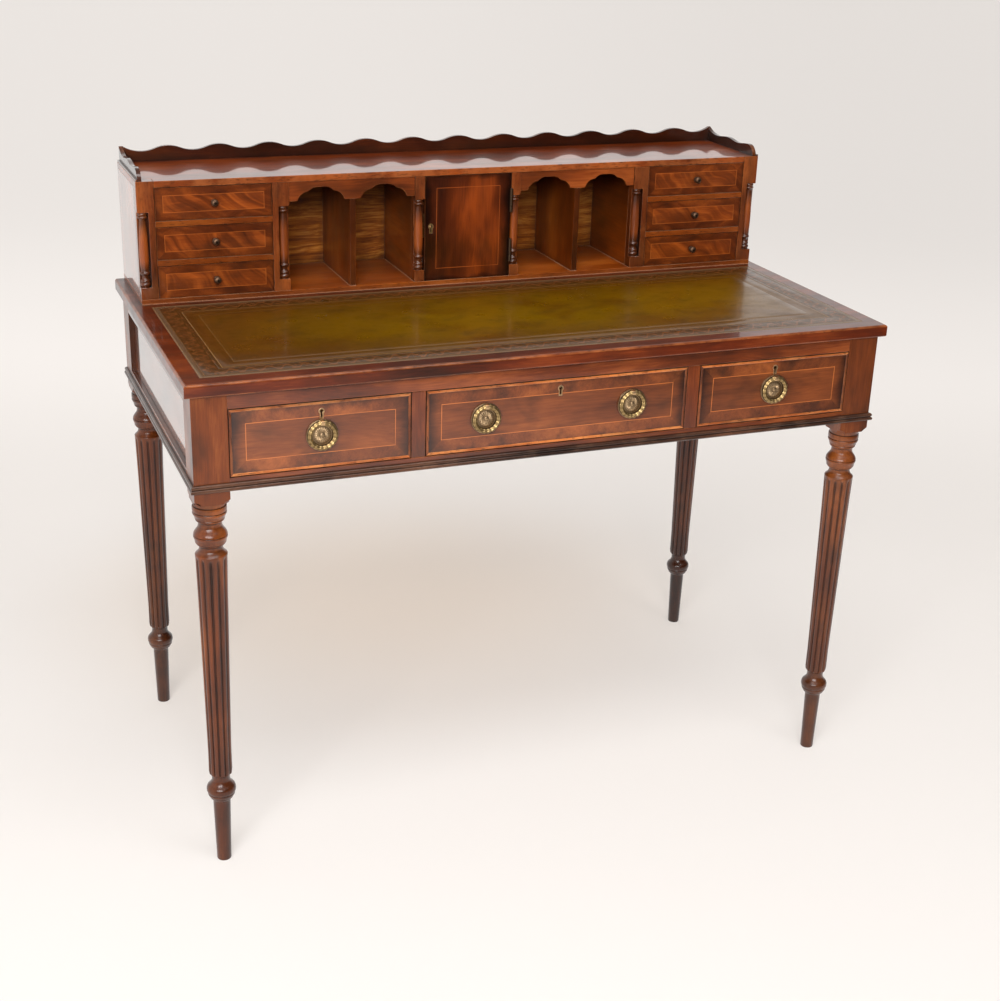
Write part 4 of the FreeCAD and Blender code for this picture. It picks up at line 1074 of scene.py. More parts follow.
class Finishes:
    """Every finish of the desk."""

    mahogany = Wood("mahogany", shade(46, 17, 5), shade(102, 44, 14), shade(152, 78, 32), contrast=1.15)
    side = Wood("mahogany_side", shade(56, 20, 5), shade(118, 52, 14), shade(168, 88, 34), coat=1.0, coat_ior=2.6)
    cabinet_side = replace(side, name="mahogany_cabinet_side", coat_ior=1.62)
    valance = Wood("valance_mahogany", shade(58, 22, 6), shade(128, 58, 20), shade(176, 94, 40), painted_shade=0.6,
                   shade_reach=10 * MM)
    # darker copy of the mahogany: painted shade for the gallery, which the light reaches less
    gallery = Wood("gallery_mahogany_painted_shade", shade(20, 6, 2), shade(52, 18, 5), shade(92, 40, 13), wear=0.4)
    top = Wood("mahogany_top", shade(40, 11, 3), shade(90, 32, 7), shade(134, 60, 20), wear=0.8, coat=0.4,
               contrast=1.2)
    cabinet_top = Wood("mahogany_cabinet_top", shade(60, 18, 3), shade(124, 49, 8), shade(168, 80, 22), wear=0.8)
    turned = Wood("mahogany_turned", shade(42, 16, 5), shade(106, 49, 15), shade(160, 88, 36), coat=0.42,
                  coat_roughness=0.24, painted_shade=0.4, shade_reach=4 * MM, contrast=0.85, smoke=0.6)
    dark_turned = Wood("mahogany_dark", shade(64, 24, 7), shade(136, 64, 20), shade(184, 104, 44), coat=0.7,
                       coat_roughness=0.26, painted_shade=0.3, shade_reach=3 * MM, contrast=0.7, smoke=0.2)
    bead = Wood("bead_wood", shade(28, 14, 9), shade(58, 34, 23), shade(100, 64, 44), wear=0.35, coat=0.35,
                worn=shade(138, 104, 82), contrast=1.4)
    worn_bead = Wood("cock_bead", shade(70, 28, 8), shade(150, 72, 26), shade(204, 118, 56), wear=0.7,
                     worn=shade(202, 134, 78), coat=0.4, painted_shade=0.6, contrast=1.5)
    dark_bead = Wood("cock_bead_dark", shade(34, 14, 6), shade(92, 42, 16), shade(150, 78, 34), wear=0.5, coat=0.4,
                     painted_shade=0.7, contrast=1.3)
    frieze = Wood("frieze_veneer", shade(62, 27, 12), shade(114, 57, 24), shade(156, 84, 36), contrast=1.0,
                  border=16 * MM, border_shade=0.9, inset=23 * MM, crossband=True, string=shade(198, 112, 50),
                  string_width=0.6 * MM, smoke=0.6)
    flame = Wood("flame_veneer", shade(52, 18, 4), shade(112, 49, 12), shade(180, 88, 28), figure=Figure.FLAME,
                 contrast=1.08, border=3.5 * MM, border_shade=0.42, inset=12.3 * MM, string=shade(168, 88, 34),
                 string_width=0.5 * MM, crossband=True, band_shade=0.45)
    door = Wood("door_veneer", shade(40, 12, 3), shade(82, 31, 6), shade(134, 57, 13), figure=Figure.CLOUDED,
                contrast=1.3, border=12 * MM, border_shade=0.95, inset=19.5 * MM, string=shade(166, 82, 32),
                string_width=0.5 * MM, band_shade=0.08)
    back_board = Wood("back_board", shade(90, 38, 6), shade(162, 88, 22), shade(222, 146, 60), contrast=1.5,
                      figure=Figure.PLAIN, coat=0.15, roughness=0.5, wear=0.2, shade_reach=24 * MM, painted_shade=0.75,
                      smoke=0.2)
    pigeonhole_floor = Wood("pigeonhole_floor", shade(76, 30, 5), shade(146, 66, 14), shade(190, 100, 32), coat=0.5,
                            wear=0.5, dust=0.8, painted_shade=0.35, smoke=0.25)
    inner = Wood("inner_board", shade(60, 23, 3), shade(124, 55, 10), shade(164, 86, 24), coat=0.5, wear=0.5,
                 dust=0.55, painted_shade=0.7, smoke=0.3, worn=shade(146, 78, 36))
    lining = Wood("drawer_lining", shade(108, 72, 40), shade(150, 108, 66), shade(184, 142, 94), figure=Figure.PLAIN,
                  coat=0.0, roughness=0.55, wear=0.3, worn=shade(196, 158, 112), painted_shade=0.4)
    plain = Wood("secondary_wood", shade(104, 70, 40), shade(142, 102, 62), shade(172, 132, 86), figure=Figure.PLAIN,
                 turn=Axis.Y, coat=0.0, roughness=0.6, painted_shade=0.4)
    blocks = replace(plain, name="glue_block_wood", turn=Axis.X)
    leather = Hide("green_leather", shade(116, 83, 0), shade(80, 44, 3), shade(46, 32, 1))
    brass = Metal("aged_brass", shade(188, 158, 108), shade(66, 46, 24), roughness=0.4)
    plate_brass = Metal("plate_brass", shade(184, 154, 118), shade(56, 40, 26), roughness=0.38)
    dark_brass = Metal("dark_brass", shade(112, 86, 68), shade(38, 26, 19), roughness=0.5)
    hinge_brass = Metal("hinge_brass", shade(92, 74, 58), shade(38, 27, 20), roughness=0.45)
    bolt_brass = Metal("bolt_brass", shade(226, 186, 140), shade(150, 112, 74), roughness=0.3, hollows=0.4)


# ---------------------------------------------------------------- boards
@dataclass
class Boards:
    """Boards that keep the frame's shape, with eased corners and grain of their own.

    Attributes:
        node: the frame node.
        finish: finish of every face.
        width: width of the easing.
        axis: direction of the grain, or the longest side's.
        body: body that they ride on.
        slot: the record's material slot.
        rubbed_front: how far the faces towards the front are rubbed.
        top_shade: weight of the painted shade that grows towards the top on all but the back.
        dark_front: darkness of the front face.
        ledge_shade: weight of the painted shade on the faces that look up or down.
        DEPTH: depth of the layer that counts as the front or the back.
        SQUARE: least share of a normal along one axis on a face that doesn't lean.
    """

    DEPTH = 2 * MM
    SQUARE = 0.985
    node: str
    finish: Finish
    width: float = 0.7 * MM
    axis: Axis | None = None
    body: str = "desk"
    slot: str = "mahogany"
    rubbed_front: float = 0.0
    top_shade: float = 0.0
    dark_front: float = 0.0
    ledge_shade: float = 0.0

    def shells(self) -> list[Shell]:
        """One shell for each board.

        Returns:
            The shells.
        """
        made = [eased(points, faces, self.width) for points, faces in cad_shells(self.node)]
        for shell in made:
            shell.set_grain(self.axis)
            self.mark_rounds(shell)
            self.darken(shell)
        return made

    def darken(self, shell: Shell) -> None:
        """Paints shade on all but the back towards the top and on the level faces, and darkens the front face, each
        by its own share.

        Args:
            shell: the board.
        """
        low, high = shell.points.min(0), shell.points.max(0)
        _, y, z = shell.points.T
        height = (z - low[2]) / (high[2] - low[2])
        inside = y < high[1] - self.DEPTH
        front = y < low[1] + SLACK
        level = np.minimum(z - low[2], high[2] - z) < SLACK
        # the top and level shares are painted shade; the front share darkens the front face
        for share in (self.top_shade * height * inside, self.dark_front * front, self.ledge_shade * level):
            shell.crevice = np.maximum(shell.crevice, share)

    def mark_rounds(self, shell: Shell) -> None:
        """Marks faces that lean, which are mouldings and rounded edges, as rubbed.

        Args:
            shell: the board.
        """
        for i, face in enumerate(shell.faces):
            a, b, c = (shell.points[j] for j in face[:3])
            normal = np.abs(np.cross(b - a, c - b))
            if normal.max() < self.SQUARE * (np.linalg.norm(normal) + 1e-15):
                shell.edge[i] = max(shell.edge[i], MOULDED)
            elif normal.argmax() == 1 and a[1] < shell.points[:, 1].min() + self.DEPTH:
                shell.edge[i] = max(shell.edge[i], self.rubbed_front)

    def build(self) -> None:
        """Makes the piece."""
        piece = Piece(self.node + "_boards", self.finish).add(*self.shells()).build()
        even_shading(piece)
        settle(piece, self.body, self.slot, self.node)


@dataclass
class SidePanels(Boards):
    """Side panels whose field stands forward of the tongues that are let into the frame.

    Attributes:
        tongue: width of the tongues.
        raised: how far the field stands forward of them.
    """

    tongue: float = 6.1 * MM
    raised: float = 6 * MM

    def shells(self) -> list[Shell]:
        """One shell for each panel."""
        return [self.panel(points) for points, _ in cad_shells(self.node)]

    def panel(self, board: np.ndarray) -> Shell:
        """One panel.

        Args:
            board: corners of the plain board.

        Returns:
            The panel's shell.
        """
        low, high = board.min(0), board.max(0)
        way = 1 if low[0] > 0 else -1
        inner, outer = (low[0], high[0])[::way]
        field = outer + way * self.raised
        points: list[tuple[float, float, float]] = []
        for x, inset in ((inner, 0.0), (outer, 0.0), (outer, self.tongue), (field - way * self.width, self.tongue),
                         (field, self.tongue + self.width)):
            y0, y1, z0, z1 = low[1] + inset, high[1] - inset, low[2] + inset, high[2] - inset
            points += [(x, y0, z0), (x, y1, z0), (x, y1, z1), (x, y0, z1)]
        count = len(points)
        faces = [(3, 2, 1, 0), tuple(range(count - 4, count)), *reversed_faces(between(count // 4, 4))]
        shell = Shell(np.array(points), [face[::way] for face in faces]).set_grain(self.axis)
        shell.edge[-4:] = MOULDED
        return shell


@dataclass
class Plain:
    """Frame node that keeps its shape and takes a finish.

    Attributes:
        node: the frame node.
        finish: its finish.
    """

    node: str
    finish: Finish

    def build(self) -> None:
        """Dresses the node."""
        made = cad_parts[self.node]
        made.data.materials.clear()
        made.data.materials.append(self.finish.material())
        LOG.info("%s: dressed in %s", self.node, self.finish.name)


# ---------------------------------------------------------------- stand
@dataclass
class ReededLeg:
    """Leg with a square post, turned collars and a tapering reeded shaft.

    Attributes:
        node: the frame node.
        darkening: painted shade over a leg that the light reaches less.
        foot_darkening: darkness at its foot, how fast that fades upwards, and the most there can be.
        around: points round the turning.
        reeds: reeds round the shaft.
        groove: depth of the grooves between the reeds.
        reed_span: how much of its round a reed shows, in quarter turns.
        post_foot: height of the foot of the frame's square post.
        post_lap: how much lower the square ends in front of the turning.
        shaft_top: height of the top of the reeds.
        shaft_foot: height of their foot.
        fade: length over which a reed rounds off at each end.
        longest: longest run between two rows of points.
        easing: width of the eased corners of the post.
        back_shade: darkness of the front of a post that stands at the back.
        smooth_angle: widest angle in degrees that shades as a curve.
    """

    node: str
    darkening: float = 0.0
    foot_darkening: tuple[float, float, float] = (0.8, 1.9, 0.62)
    around: int = 192
    reeds: int = 12
    groove: float = 3.0 * MM
    reed_span: float = 2.3
    post_foot: float = 595 * MM
    post_lap: float = 3.6 * MM
    shaft_top: float = 506.5 * MM
    shaft_foot: float = 150.5 * MM
    fade: float = 4 * MM
    longest: float = 5 * MM
    easing: float = 0.8 * MM
    back_shade: float = 0.8
    smooth_angle: float = 46.0

    def outline(self) -> Profile:
        """Radii and heights of the turning, from the post down.

        Returns:
            The outline in metres.
        """
        top = self.post_foot / MM
        end = self.shaft_foot / MM
        steps = [
            [(23.6, top - 3.9)], [(22.9, top - 7.6), (22.5, top - 10.8)], [(24.0, top - 11.3)],
            [(24.3, top - 15.2), (24.0, top - 18.7)], [(23.0, top - 19.3)],
            [(24.2, top - 21.6), (22.6, top - 25.4)], [(21.7, top - 27.8), (21.3, top - 29.9)],
            [(20.2, top - 30.5)], [(20.4, top - 32.5), (18.4, top - 34.6)], [(17.1, top - 35.1)],
            [(16.8, top - 38.6), (17.2, top - 42.4)], [(18.9, top - 45.6), (20.8, top - 48.2)],
            [(23.1, top - 51.8), (24.1, top - 55)], [(23.0, top - 55.6)],
            [(24.2, top - 56.9), (23.6, top - 59.8)], [(22.8, top - 62.4), (22.0, top - 66.8)],
            [(20.4, top - 67.4)], [(20.2, top - 69.3), (18.2, top - 71)], [(17.0, top - 71.5)],
            [(16.8, top - 75), (17.5, top - 78.4)], [(19.8, top - 81.8), (22.6, top - 84.4)],
            [(23.0, top - 85.2)], [(22.9, top - 88)], [(21.6, 449)], [(17.6, 205)], [(17.4, 188)],
            [(17.6, end + 6)], [(16.8, end + 0.6)], [(14.2, end - 1.2)],
            [(13.5, end - 6.6), (13.8, end - 11.4)], [(15.8, end - 15.4), (18.6, end - 18.8)],
            [(20.9, end - 22), (21.8, end - 26)], [(21.6, end - 28.8), (20.7, end - 31.4)],
            [(19.9, end - 31.9)], [(20.2, end - 34.4), (18.6, end - 38.2)], [(17.6, end - 38.8)],
            [(17.0, end - 41), (13.9, end - 43.4)], [(13.0, end - 45.4)], [(10.8, 0.8)], [(10.3, 0.0)],
        ]
        line = profile((23.4, top), steps)
        return divided([(r * MM, z * MM) for r, z in line], self.longest)

    def post(self) -> Shell:
        """Square post above the turning, with its mortises.

        Returns:
            The shell.
        """
        work = opened(*cad_shells(self.node)[0])
        cut = work.verts[:] + work.edges[:] + work.faces[:]
        bmesh.ops.bisect_plane(work, geom=cut, plane_co=(0, 0, self.post_foot + SLACK / 2), plane_no=(0, 0, 1),
                               clear_inner=True, dist=1e-7)
        bmesh.ops.holes_fill(work, edges=[e for e in work.edges if e.is_boundary], sides=0)
        bmesh.ops.recalc_face_normals(work, faces=work.faces)
        for vert in work.verts:
            if vert.co.z < self.post_foot + SLACK:
                vert.co.z -= self.post_lap
        shell = eased(*read_back(work), self.easing)
        work.free()
        if "back" in self.node:
            shell.crevice[shell.points[:, 1] < shell.points[:, 1].min() + SLACK] = self.back_shade
        return shell.set_grain(Axis.Z)

    def reeding(self, centre: Sequence[float]) -> Former:
        """Tree that sinks the grooves between the reeds and paints shade into them.

        Args:
            centre: a point on the leg's axis.

        Returns:
            The tree.
        """
        tree = Former("reeding", {"Reeds": self.reeds, "Groove Depth": self.groove, "Leg Axis": tuple(centre)})
        given = tree.given
        place = tree.node("GeometryNodeInputPosition").outputs[0]
        x, y, _ = tree.parts(tree.vector("SUBTRACT", place, given["Leg Axis"]))
        turns = tree.math("DIVIDE", tree.math("ARCTAN2", y, x), 2 * math.pi)
        share = tree.math("FRACT", tree.math("MULTIPLY_ADD", turns, given["Reeds"], 0.5))
        off = tree.times(tree.math("ABSOLUTE", tree.math("SUBTRACT", share, 0.5)), self.reed_span)
        off = tree.math("MINIMUM", off, 0.99)
        round_top = tree.math("SQRT", tree.math("SUBTRACT", 1.0, tree.times(off, off)))
        held = tree.node("GeometryNodeInputNamedAttribute", {"Name": "shaft"}, data_type="FLOAT").outputs[0]
        sink = tree.times(tree.math("SUBTRACT", 1.0, round_top), given["Groove Depth"])
        sink = tree.times(sink, held)
        inward = tree.node("ShaderNodeVectorMath", {0: tree.joined(x, y, 0.0)}, operation="NORMALIZE").outputs[0]
        step = tree.node("ShaderNodeVectorMath", {0: inward, 3: tree.times(sink, -1.0)},
                         operation="SCALE").outputs[0]
        sunk = tree.node("GeometryNodeSetPosition", {"Geometry": given["Geometry"], "Offset": step}).outputs[0]
        old = tree.node("GeometryNodeInputNamedAttribute", {"Name": "crevice"}, data_type="FLOAT").outputs[0]
        # painted shade in the grooves between the reeds
        painted_shade = tree.times(tree.math("POWER", off, 1.7), held)
        kept = tree.node("GeometryNodeStoreNamedAttribute",
                         {"Geometry": sunk, "Name": "crevice", "Value": tree.math("MAXIMUM", old, painted_shade)},
                         data_type="FLOAT", domain="POINT").outputs[0]
        tree.close(kept)
        return tree

    def build(self) -> None:
        """Makes the leg."""
        post = self.post()
        low, high = post.points.min(0), post.points.max(0)
        centre = ((low[0] + high[0]) / 2, (low[1] + high[1]) / 2, 0.0)
        turning = turned(self.outline(), self.around).moved(*centre)
        # painted shade over the whole leg by its darkening, and darker towards the foot
        foot, fading, most = self.foot_darkening
        aged = self.darkening + np.clip(foot - turning.points[:, 2] * fading, 0, most)
        turning.crevice = np.maximum(turning.crevice, aged)
        finish = Finishes.turned
        piece = Piece(self.node + "_reeded", finish).add(post, turning).build(self.smooth_angle)
        heights = np.concatenate([post.points[:, 2], turning.points[:, 2]])
        inside = np.clip(np.minimum(self.shaft_top - heights, heights - self.shaft_foot) / self.fade, 0, 1)
        shaft = piece.data.attributes.new("shaft", "FLOAT", "POINT")
        shaft.data.foreach_set("value", np.sin(inside * math.pi / 2).astype(np.float32))
        self.reeding(centre).bake(piece, finish.material())
        piece.data.set_sharp_from_angle(angle=math.radians(self.smooth_angle))
        even_shading(piece)
        settle(piece, "desk", "mahogany", self.node)


@dataclass
class Skiver:
    """Writing leather, with lines and a band pressed in round its edge.

    Attributes:
        node: the frame node.
        lines: distance of each pressed line from the edge, its half width and its depth.
        rows: faces across the middle, by width and depth.
        ripple: height of the slow ripple of the middle.
        strip: plain strip along the back, stained as the top.
        lip: width and depth of the bevel of its cut edge.
    """

    node: str = "leather_skiver"
    lines: tuple[tuple[float, float, float], ...] = (
        (1.2 * MM, 0.6 * MM, 0.25 * MM), (8.4 * MM, 0.5 * MM, 0.2 * MM), (33 * MM, 0.4 * MM, 0.15 * MM),
        (39 * MM, 0.5 * MM, 0.25 * MM), (60 * MM, 0.4 * MM, 0.15 * MM))
    rows: tuple[int, int] = (64, 24)
    ripple: float = 0.06 * MM
    strip: float = 20 * MM
    lip: float = 0.35 * MM

    def waving(self, across: float, up: float) -> float:
        """Height of the ripple at a place on the middle.

        Args:
            across: share of the width.
            up: share of the depth.

        Returns:
            The height, never above 0.
        """
        fade = min(1.0, 12 * min(across, 1 - across, up, 1 - up))
        waves = math.sin(9 * across + 5 * up) + math.sin(13 * up - 4 * across)
        return self.ripple * fade * (waves - 2)

    def build(self) -> None:
        """Makes the leather."""
        low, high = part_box(self.node)
        insets = [(0.0, high.z - low.z), (0.0, self.lip), (self.lip, 0.0)]
        for at, half, depth in self.lines:
            insets += [(at - half, 0.0), (at, depth), (at + half, 0.0)]
        points: list[tuple[float, float, float]] = []
        for inset, drop in insets:
            x0, y0, x1, y1 = low.x + inset, low.y + inset, high.x - inset, high.y - inset
            if inset > self.lip:
                y1 -= self.strip
            points += [(x, y, high.z - drop) for x, y in ((x0, y0), (x1, y0), (x1, y1), (x0, y1))]
        del points[-4:]
        middle = len(points)
        rim = middle - 4
        faces = [*reversed_faces(between(middle // 4, 4)), (3, 2, 1, 0)]
        wide, deep = self.rows
        for v in np.linspace(0, 1, deep + 1):
            points += [(x0 + (x1 - x0) * u, y0 + (y1 - y0) * v, high.z + self.waving(u, v))
                       for u in np.linspace(0, 1, wide + 1)]
        row = wide + 1
        faces += [(a, a + 1, a + row + 1, a + row)
                  for start in range(middle, middle + deep * row, row) for a in range(start, start + wide)]
        last = middle + deep * row
        for side, edge in enumerate((range(middle, middle + row), range(middle + wide, last + row, row),
                                     range(last + wide, last - 1, -1), range(last, middle - 1, -row))):
            faces.append((rim + side, rim + (side + 1) % 4, *reversed(edge)))
        shell = Shell(np.array(points), faces)
        shell.set_panel((low.x, low.y), (high.x, high.y - self.strip), (0, 1), facing=False)
        piece = Piece("leather_skiver_tooled", Finishes.leather).add(shell).build(30)
        settle(piece, "desk", "leather", self.node)


# ---------------------------------------------------------------- cabinet
@dataclass
class Colonettes:
    """Half columns let into the posts of the cabinet.

    Attributes:
        node: the frame node.
        radius: radius of the rings.
        around: faces round each half.
        dark_foot: share of the height at which a column darkens downwards, and over how much of it.
        dark_head: share of the height at which it darkens upwards, and over how much of it.
        darkest: the most that it darkens.
    """

    node: str = "colonettes"
    radius: float = 8.0 * MM
    around: int = 32
    dark_foot: tuple[float, float] = (0.36, 0.14)
    dark_head: tuple[float, float] = (0.66, 0.22)
    darkest: float = 0.9

    def outline(self, foot: float, head: float) -> Profile:
        """Radii and heights of one column, from the head down.

        Args:
            foot: height of its foot, in millimetres.
            head: height of its head.

        Returns:
            The outline in metres.
        """
        ring, bead, belly, seat, waist = (self.radius / MM * share for share in (1.0, 0.93, 0.92, 0.78, 0.64))
        steps = [
            [(bead, head - 2.6), (seat, head - 5.2)], [(ring, head - 7.4), (seat, head - 9.6)],
            [(waist, head - 11.2)], [(belly, foot + 58), (seat, foot + 25.6)],
            [(seat, foot + 24.6)], [(ring, foot + 22), (seat, foot + 19.4)],
            [(waist, foot + 17.8)], [(waist, foot + 13.4)],
            [(seat, foot + 12.2)], [(bead, foot + 10), (seat, foot + 7.8)],
            [(ring, foot + 4.4), (seat, foot + 1.0)], [(seat, foot)],
        ]
        return [(r * MM, z * MM) for r, z in divided(profile((seat, head), steps), 3.0)]

    def build(self) -> None:
        """Makes all the half columns as one piece."""
        piece = Piece("colonettes_turned", Finishes.dark_turned)
        for points, _ in cad_shells(self.node):
            low, high = points.min(0), points.max(0)
            column = turned(self.outline(low[2] / MM, high[2] / MM), self.around, half=True)
            height = (column.points[:, 2] - low[2]) / (high[2] - low[2])
            foot = (self.dark_foot[0] - height) / self.dark_foot[1]
            head = (height - self.dark_head[0]) / self.dark_head[1]
            column.crevice = np.clip(np.maximum(foot, head), 0, self.darkest)
            piece.add(column.moved((low[0] + high[0]) / 2, high[1]))
        made = piece.build(50)
        even_shading(made)
        settle(made, "desk", "mahogany", self.node)


@dataclass
class CupboardDoor:
    """Veneered cupboard door with its lock, hinges and keyhole lining.

    Attributes:
        body: body that it rides on.
    """

    body: str = "door"

    def build(self) -> None:
        """Makes the panel and the brass."""
        points, faces = cad_shells("door_panel")[0]
        panel = eased(points, faces, 0.7 * MM).set_grain(Axis.Z)
        low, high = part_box("door_panel")
        panel.set_panel((low.x, low.z), (high.x, high.z))
        made = Piece("cupboard_door", Finishes.mahogany, Finishes.door).add(panel).build()
        even_shading(made)
        settle(made, self.body, "veneered_front", "door_panel")
        self.build_brass()
        Boards("post_hinges", Finishes.hinge_brass, 0.2 * MM, slot="brass").build()
        Plain("door_bolt", Finishes.bolt_brass).build()

    def build_brass(self) -> None:
        """Makes the lock case and the keyhole lining, and the darker leaves and screws of the hinges."""
        middle = sum(corner.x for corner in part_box("door_panel")) / 2
        piece = Piece("door_brass_fitted", Finishes.brass, Finishes.hinge_brass)
        for points, faces in cad_shells("door_brass"):
            shell = eased(points, faces, 0.2 * MM)
            shell.layer[:] = int(points[:, 0].mean() > middle)
            piece.add(shell)
        made = piece.build(50)
        even_shading(made)
        settle(made, self.body, "brass", "door_brass")


@dataclass
class SmallDrawer:
    """Small drawer of the cabinet and its turned knob.

    Attributes:
        side: left or right.
        row: 1 at the top.
        knob_points: points round the knob.
        knob_reach: how far the knob stands out, in millimetres.
    """

    side: str
    row: int
    knob_points: int = 40
    knob_reach: float = 11.0

    def build(self) -> None:
        """Makes the drawer and the knob."""
        name = f"small_drawer_{self.side}_{self.row}"
        solids = cad_shells(name)
        face = eased(*solids[0], 0.6 * MM).set_grain(Axis.X)
        low, high = face.points.min(0), face.points.max(0)
        face.set_panel((low[0], low[2]), (high[0], high[2]))
        inner = [eased(points, faces, 0.4 * MM).set_grain() for points, faces in solids[1:]]
        finishes = (Finishes.mahogany, Finishes.flame, Finishes.lining)
        for shell in inner:
            shell.layer[:] = finishes.index(Finishes.lining)
        made = Piece(name + "_veneered", *finishes).add(face, *inner).build()
        even_shading(made)
        settle(made, name, "veneered_front", name)
        self.build_knob(name)

    def build_knob(self, body: str) -> None:
        """Makes the knob.

        Args:
            body: body that it rides on.
        """
        node = f"knob_{self.side}_{self.row}"
        low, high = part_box(node)
        radius, reach = (high.x - low.x) / 2 / MM, self.knob_reach
        length = (high.y - low.y) / MM - reach
        line = profile((0.3, reach), [
            [(radius * 0.8, reach - 1.4), (radius, reach - 4)],
            [(radius * 0.85, reach - 6.4), (radius * 0.45, reach - 7.4)],
            [(radius * 0.45, 1.6)], [(radius * 0.85, 1.2)], [(radius * 0.85, 0)], [(1.5, 0)], [(1.5, -length)]])
        knob = turned([(r * MM, z * MM) for r, z in line], self.knob_points).turned_to_front()
        knob.moved((low.x + high.x) / 2, low.y + reach * MM, (low.z + high.z) / 2)
        made = Piece(node + "_turned", Finishes.dark_brass).add(knob).build(50)
        settle(made, body, "brass", node)


# ---------------------------------------------------------------- frieze drawers
@dataclass
class CockBead:
    """Mitred half-round strips round a drawer front, chipped here and there.

    Attributes:
        low: lowest corner of the strips, by x, y and z.
        high: their highest corner.
        width: width of each strip.
        round: how far its round stands out.
        station: run between two sections.
        chip: how far the deepest chip goes in.
        joint: half the gap at each mitre.
        first_finish: finish number of the level strips, with that of the upright ones next.
    """

    low: Sequence[float]
    high: Sequence[float]
    width: float = 4.2 * MM
    round: float = 1.2 * MM
    station: float = 3 * MM
    chip: float = 0.7 * MM
    joint: float = 0.02 * MM
    first_finish: int = 2

    def section(self) -> np.ndarray:
        """Points of the section: distance in from the edge, and back from the front.

        Returns:
            The points, one row each.
        """
        half = self.width / 2
        angles = np.linspace(math.pi, 0, 9)
        arc = np.column_stack([half + half * np.cos(angles), self.round * (1 - np.sin(angles))])
        depth = self.high[1] - self.low[1]
        return np.concatenate([[(0.0, depth)], arc, [(self.width, depth)]])

    def shells(self) -> list[Shell]:
        """Four strips.

        Returns:
            Their shells.
        """
        section = self.section()
        count = len(section)
        made = []
        corners = [(self.low[0], self.low[2]), (self.high[0], self.low[2]), (self.high[0], self.high[2]),
                   (self.low[0], self.high[2])]
        for k in range(4):
            start, end = np.array(corners[k]), np.array(corners[(k + 1) % 4])
            length = np.linalg.norm(end - start)
            along = (end - start) / length
            inward = np.array([-along[1], along[0]])
            stations = np.linspace(0, 1, max(2, int(length / self.station)))
            wear = np.clip(rng.normal(-0.4, 0.5, len(stations)), 0, 1) ** 2 * self.chip
            points = []
            for share, loss in zip(stations, wear):
                for across, backward in section:
                    end_run = across + self.joint
                    flat = start + along * (end_run + (length - 2 * end_run) * share) + inward * across
                    sunk = backward + (loss if backward < MM else 0.0)
                    points.append((flat[0], self.low[1] + sunk, flat[1]))
            last = len(points) - count
            faces = [tuple(range(count)), tuple(reversed(range(last, last + count))), *between(len(stations), count)]
            shell = Shell(np.array(points), faces)
            shell.edge[2:] = MOULDED
            # painted shade on the flanks of the bead, where the gaps beside it lie
            shell.crevice = np.tile([1.0, 1.0, 0.5] + [0.0] * (count - 5) + [0.7, 1.0], len(stations))
            shell.layer[:] = self.first_finish + k % 2
            made.append(shell)
        return made


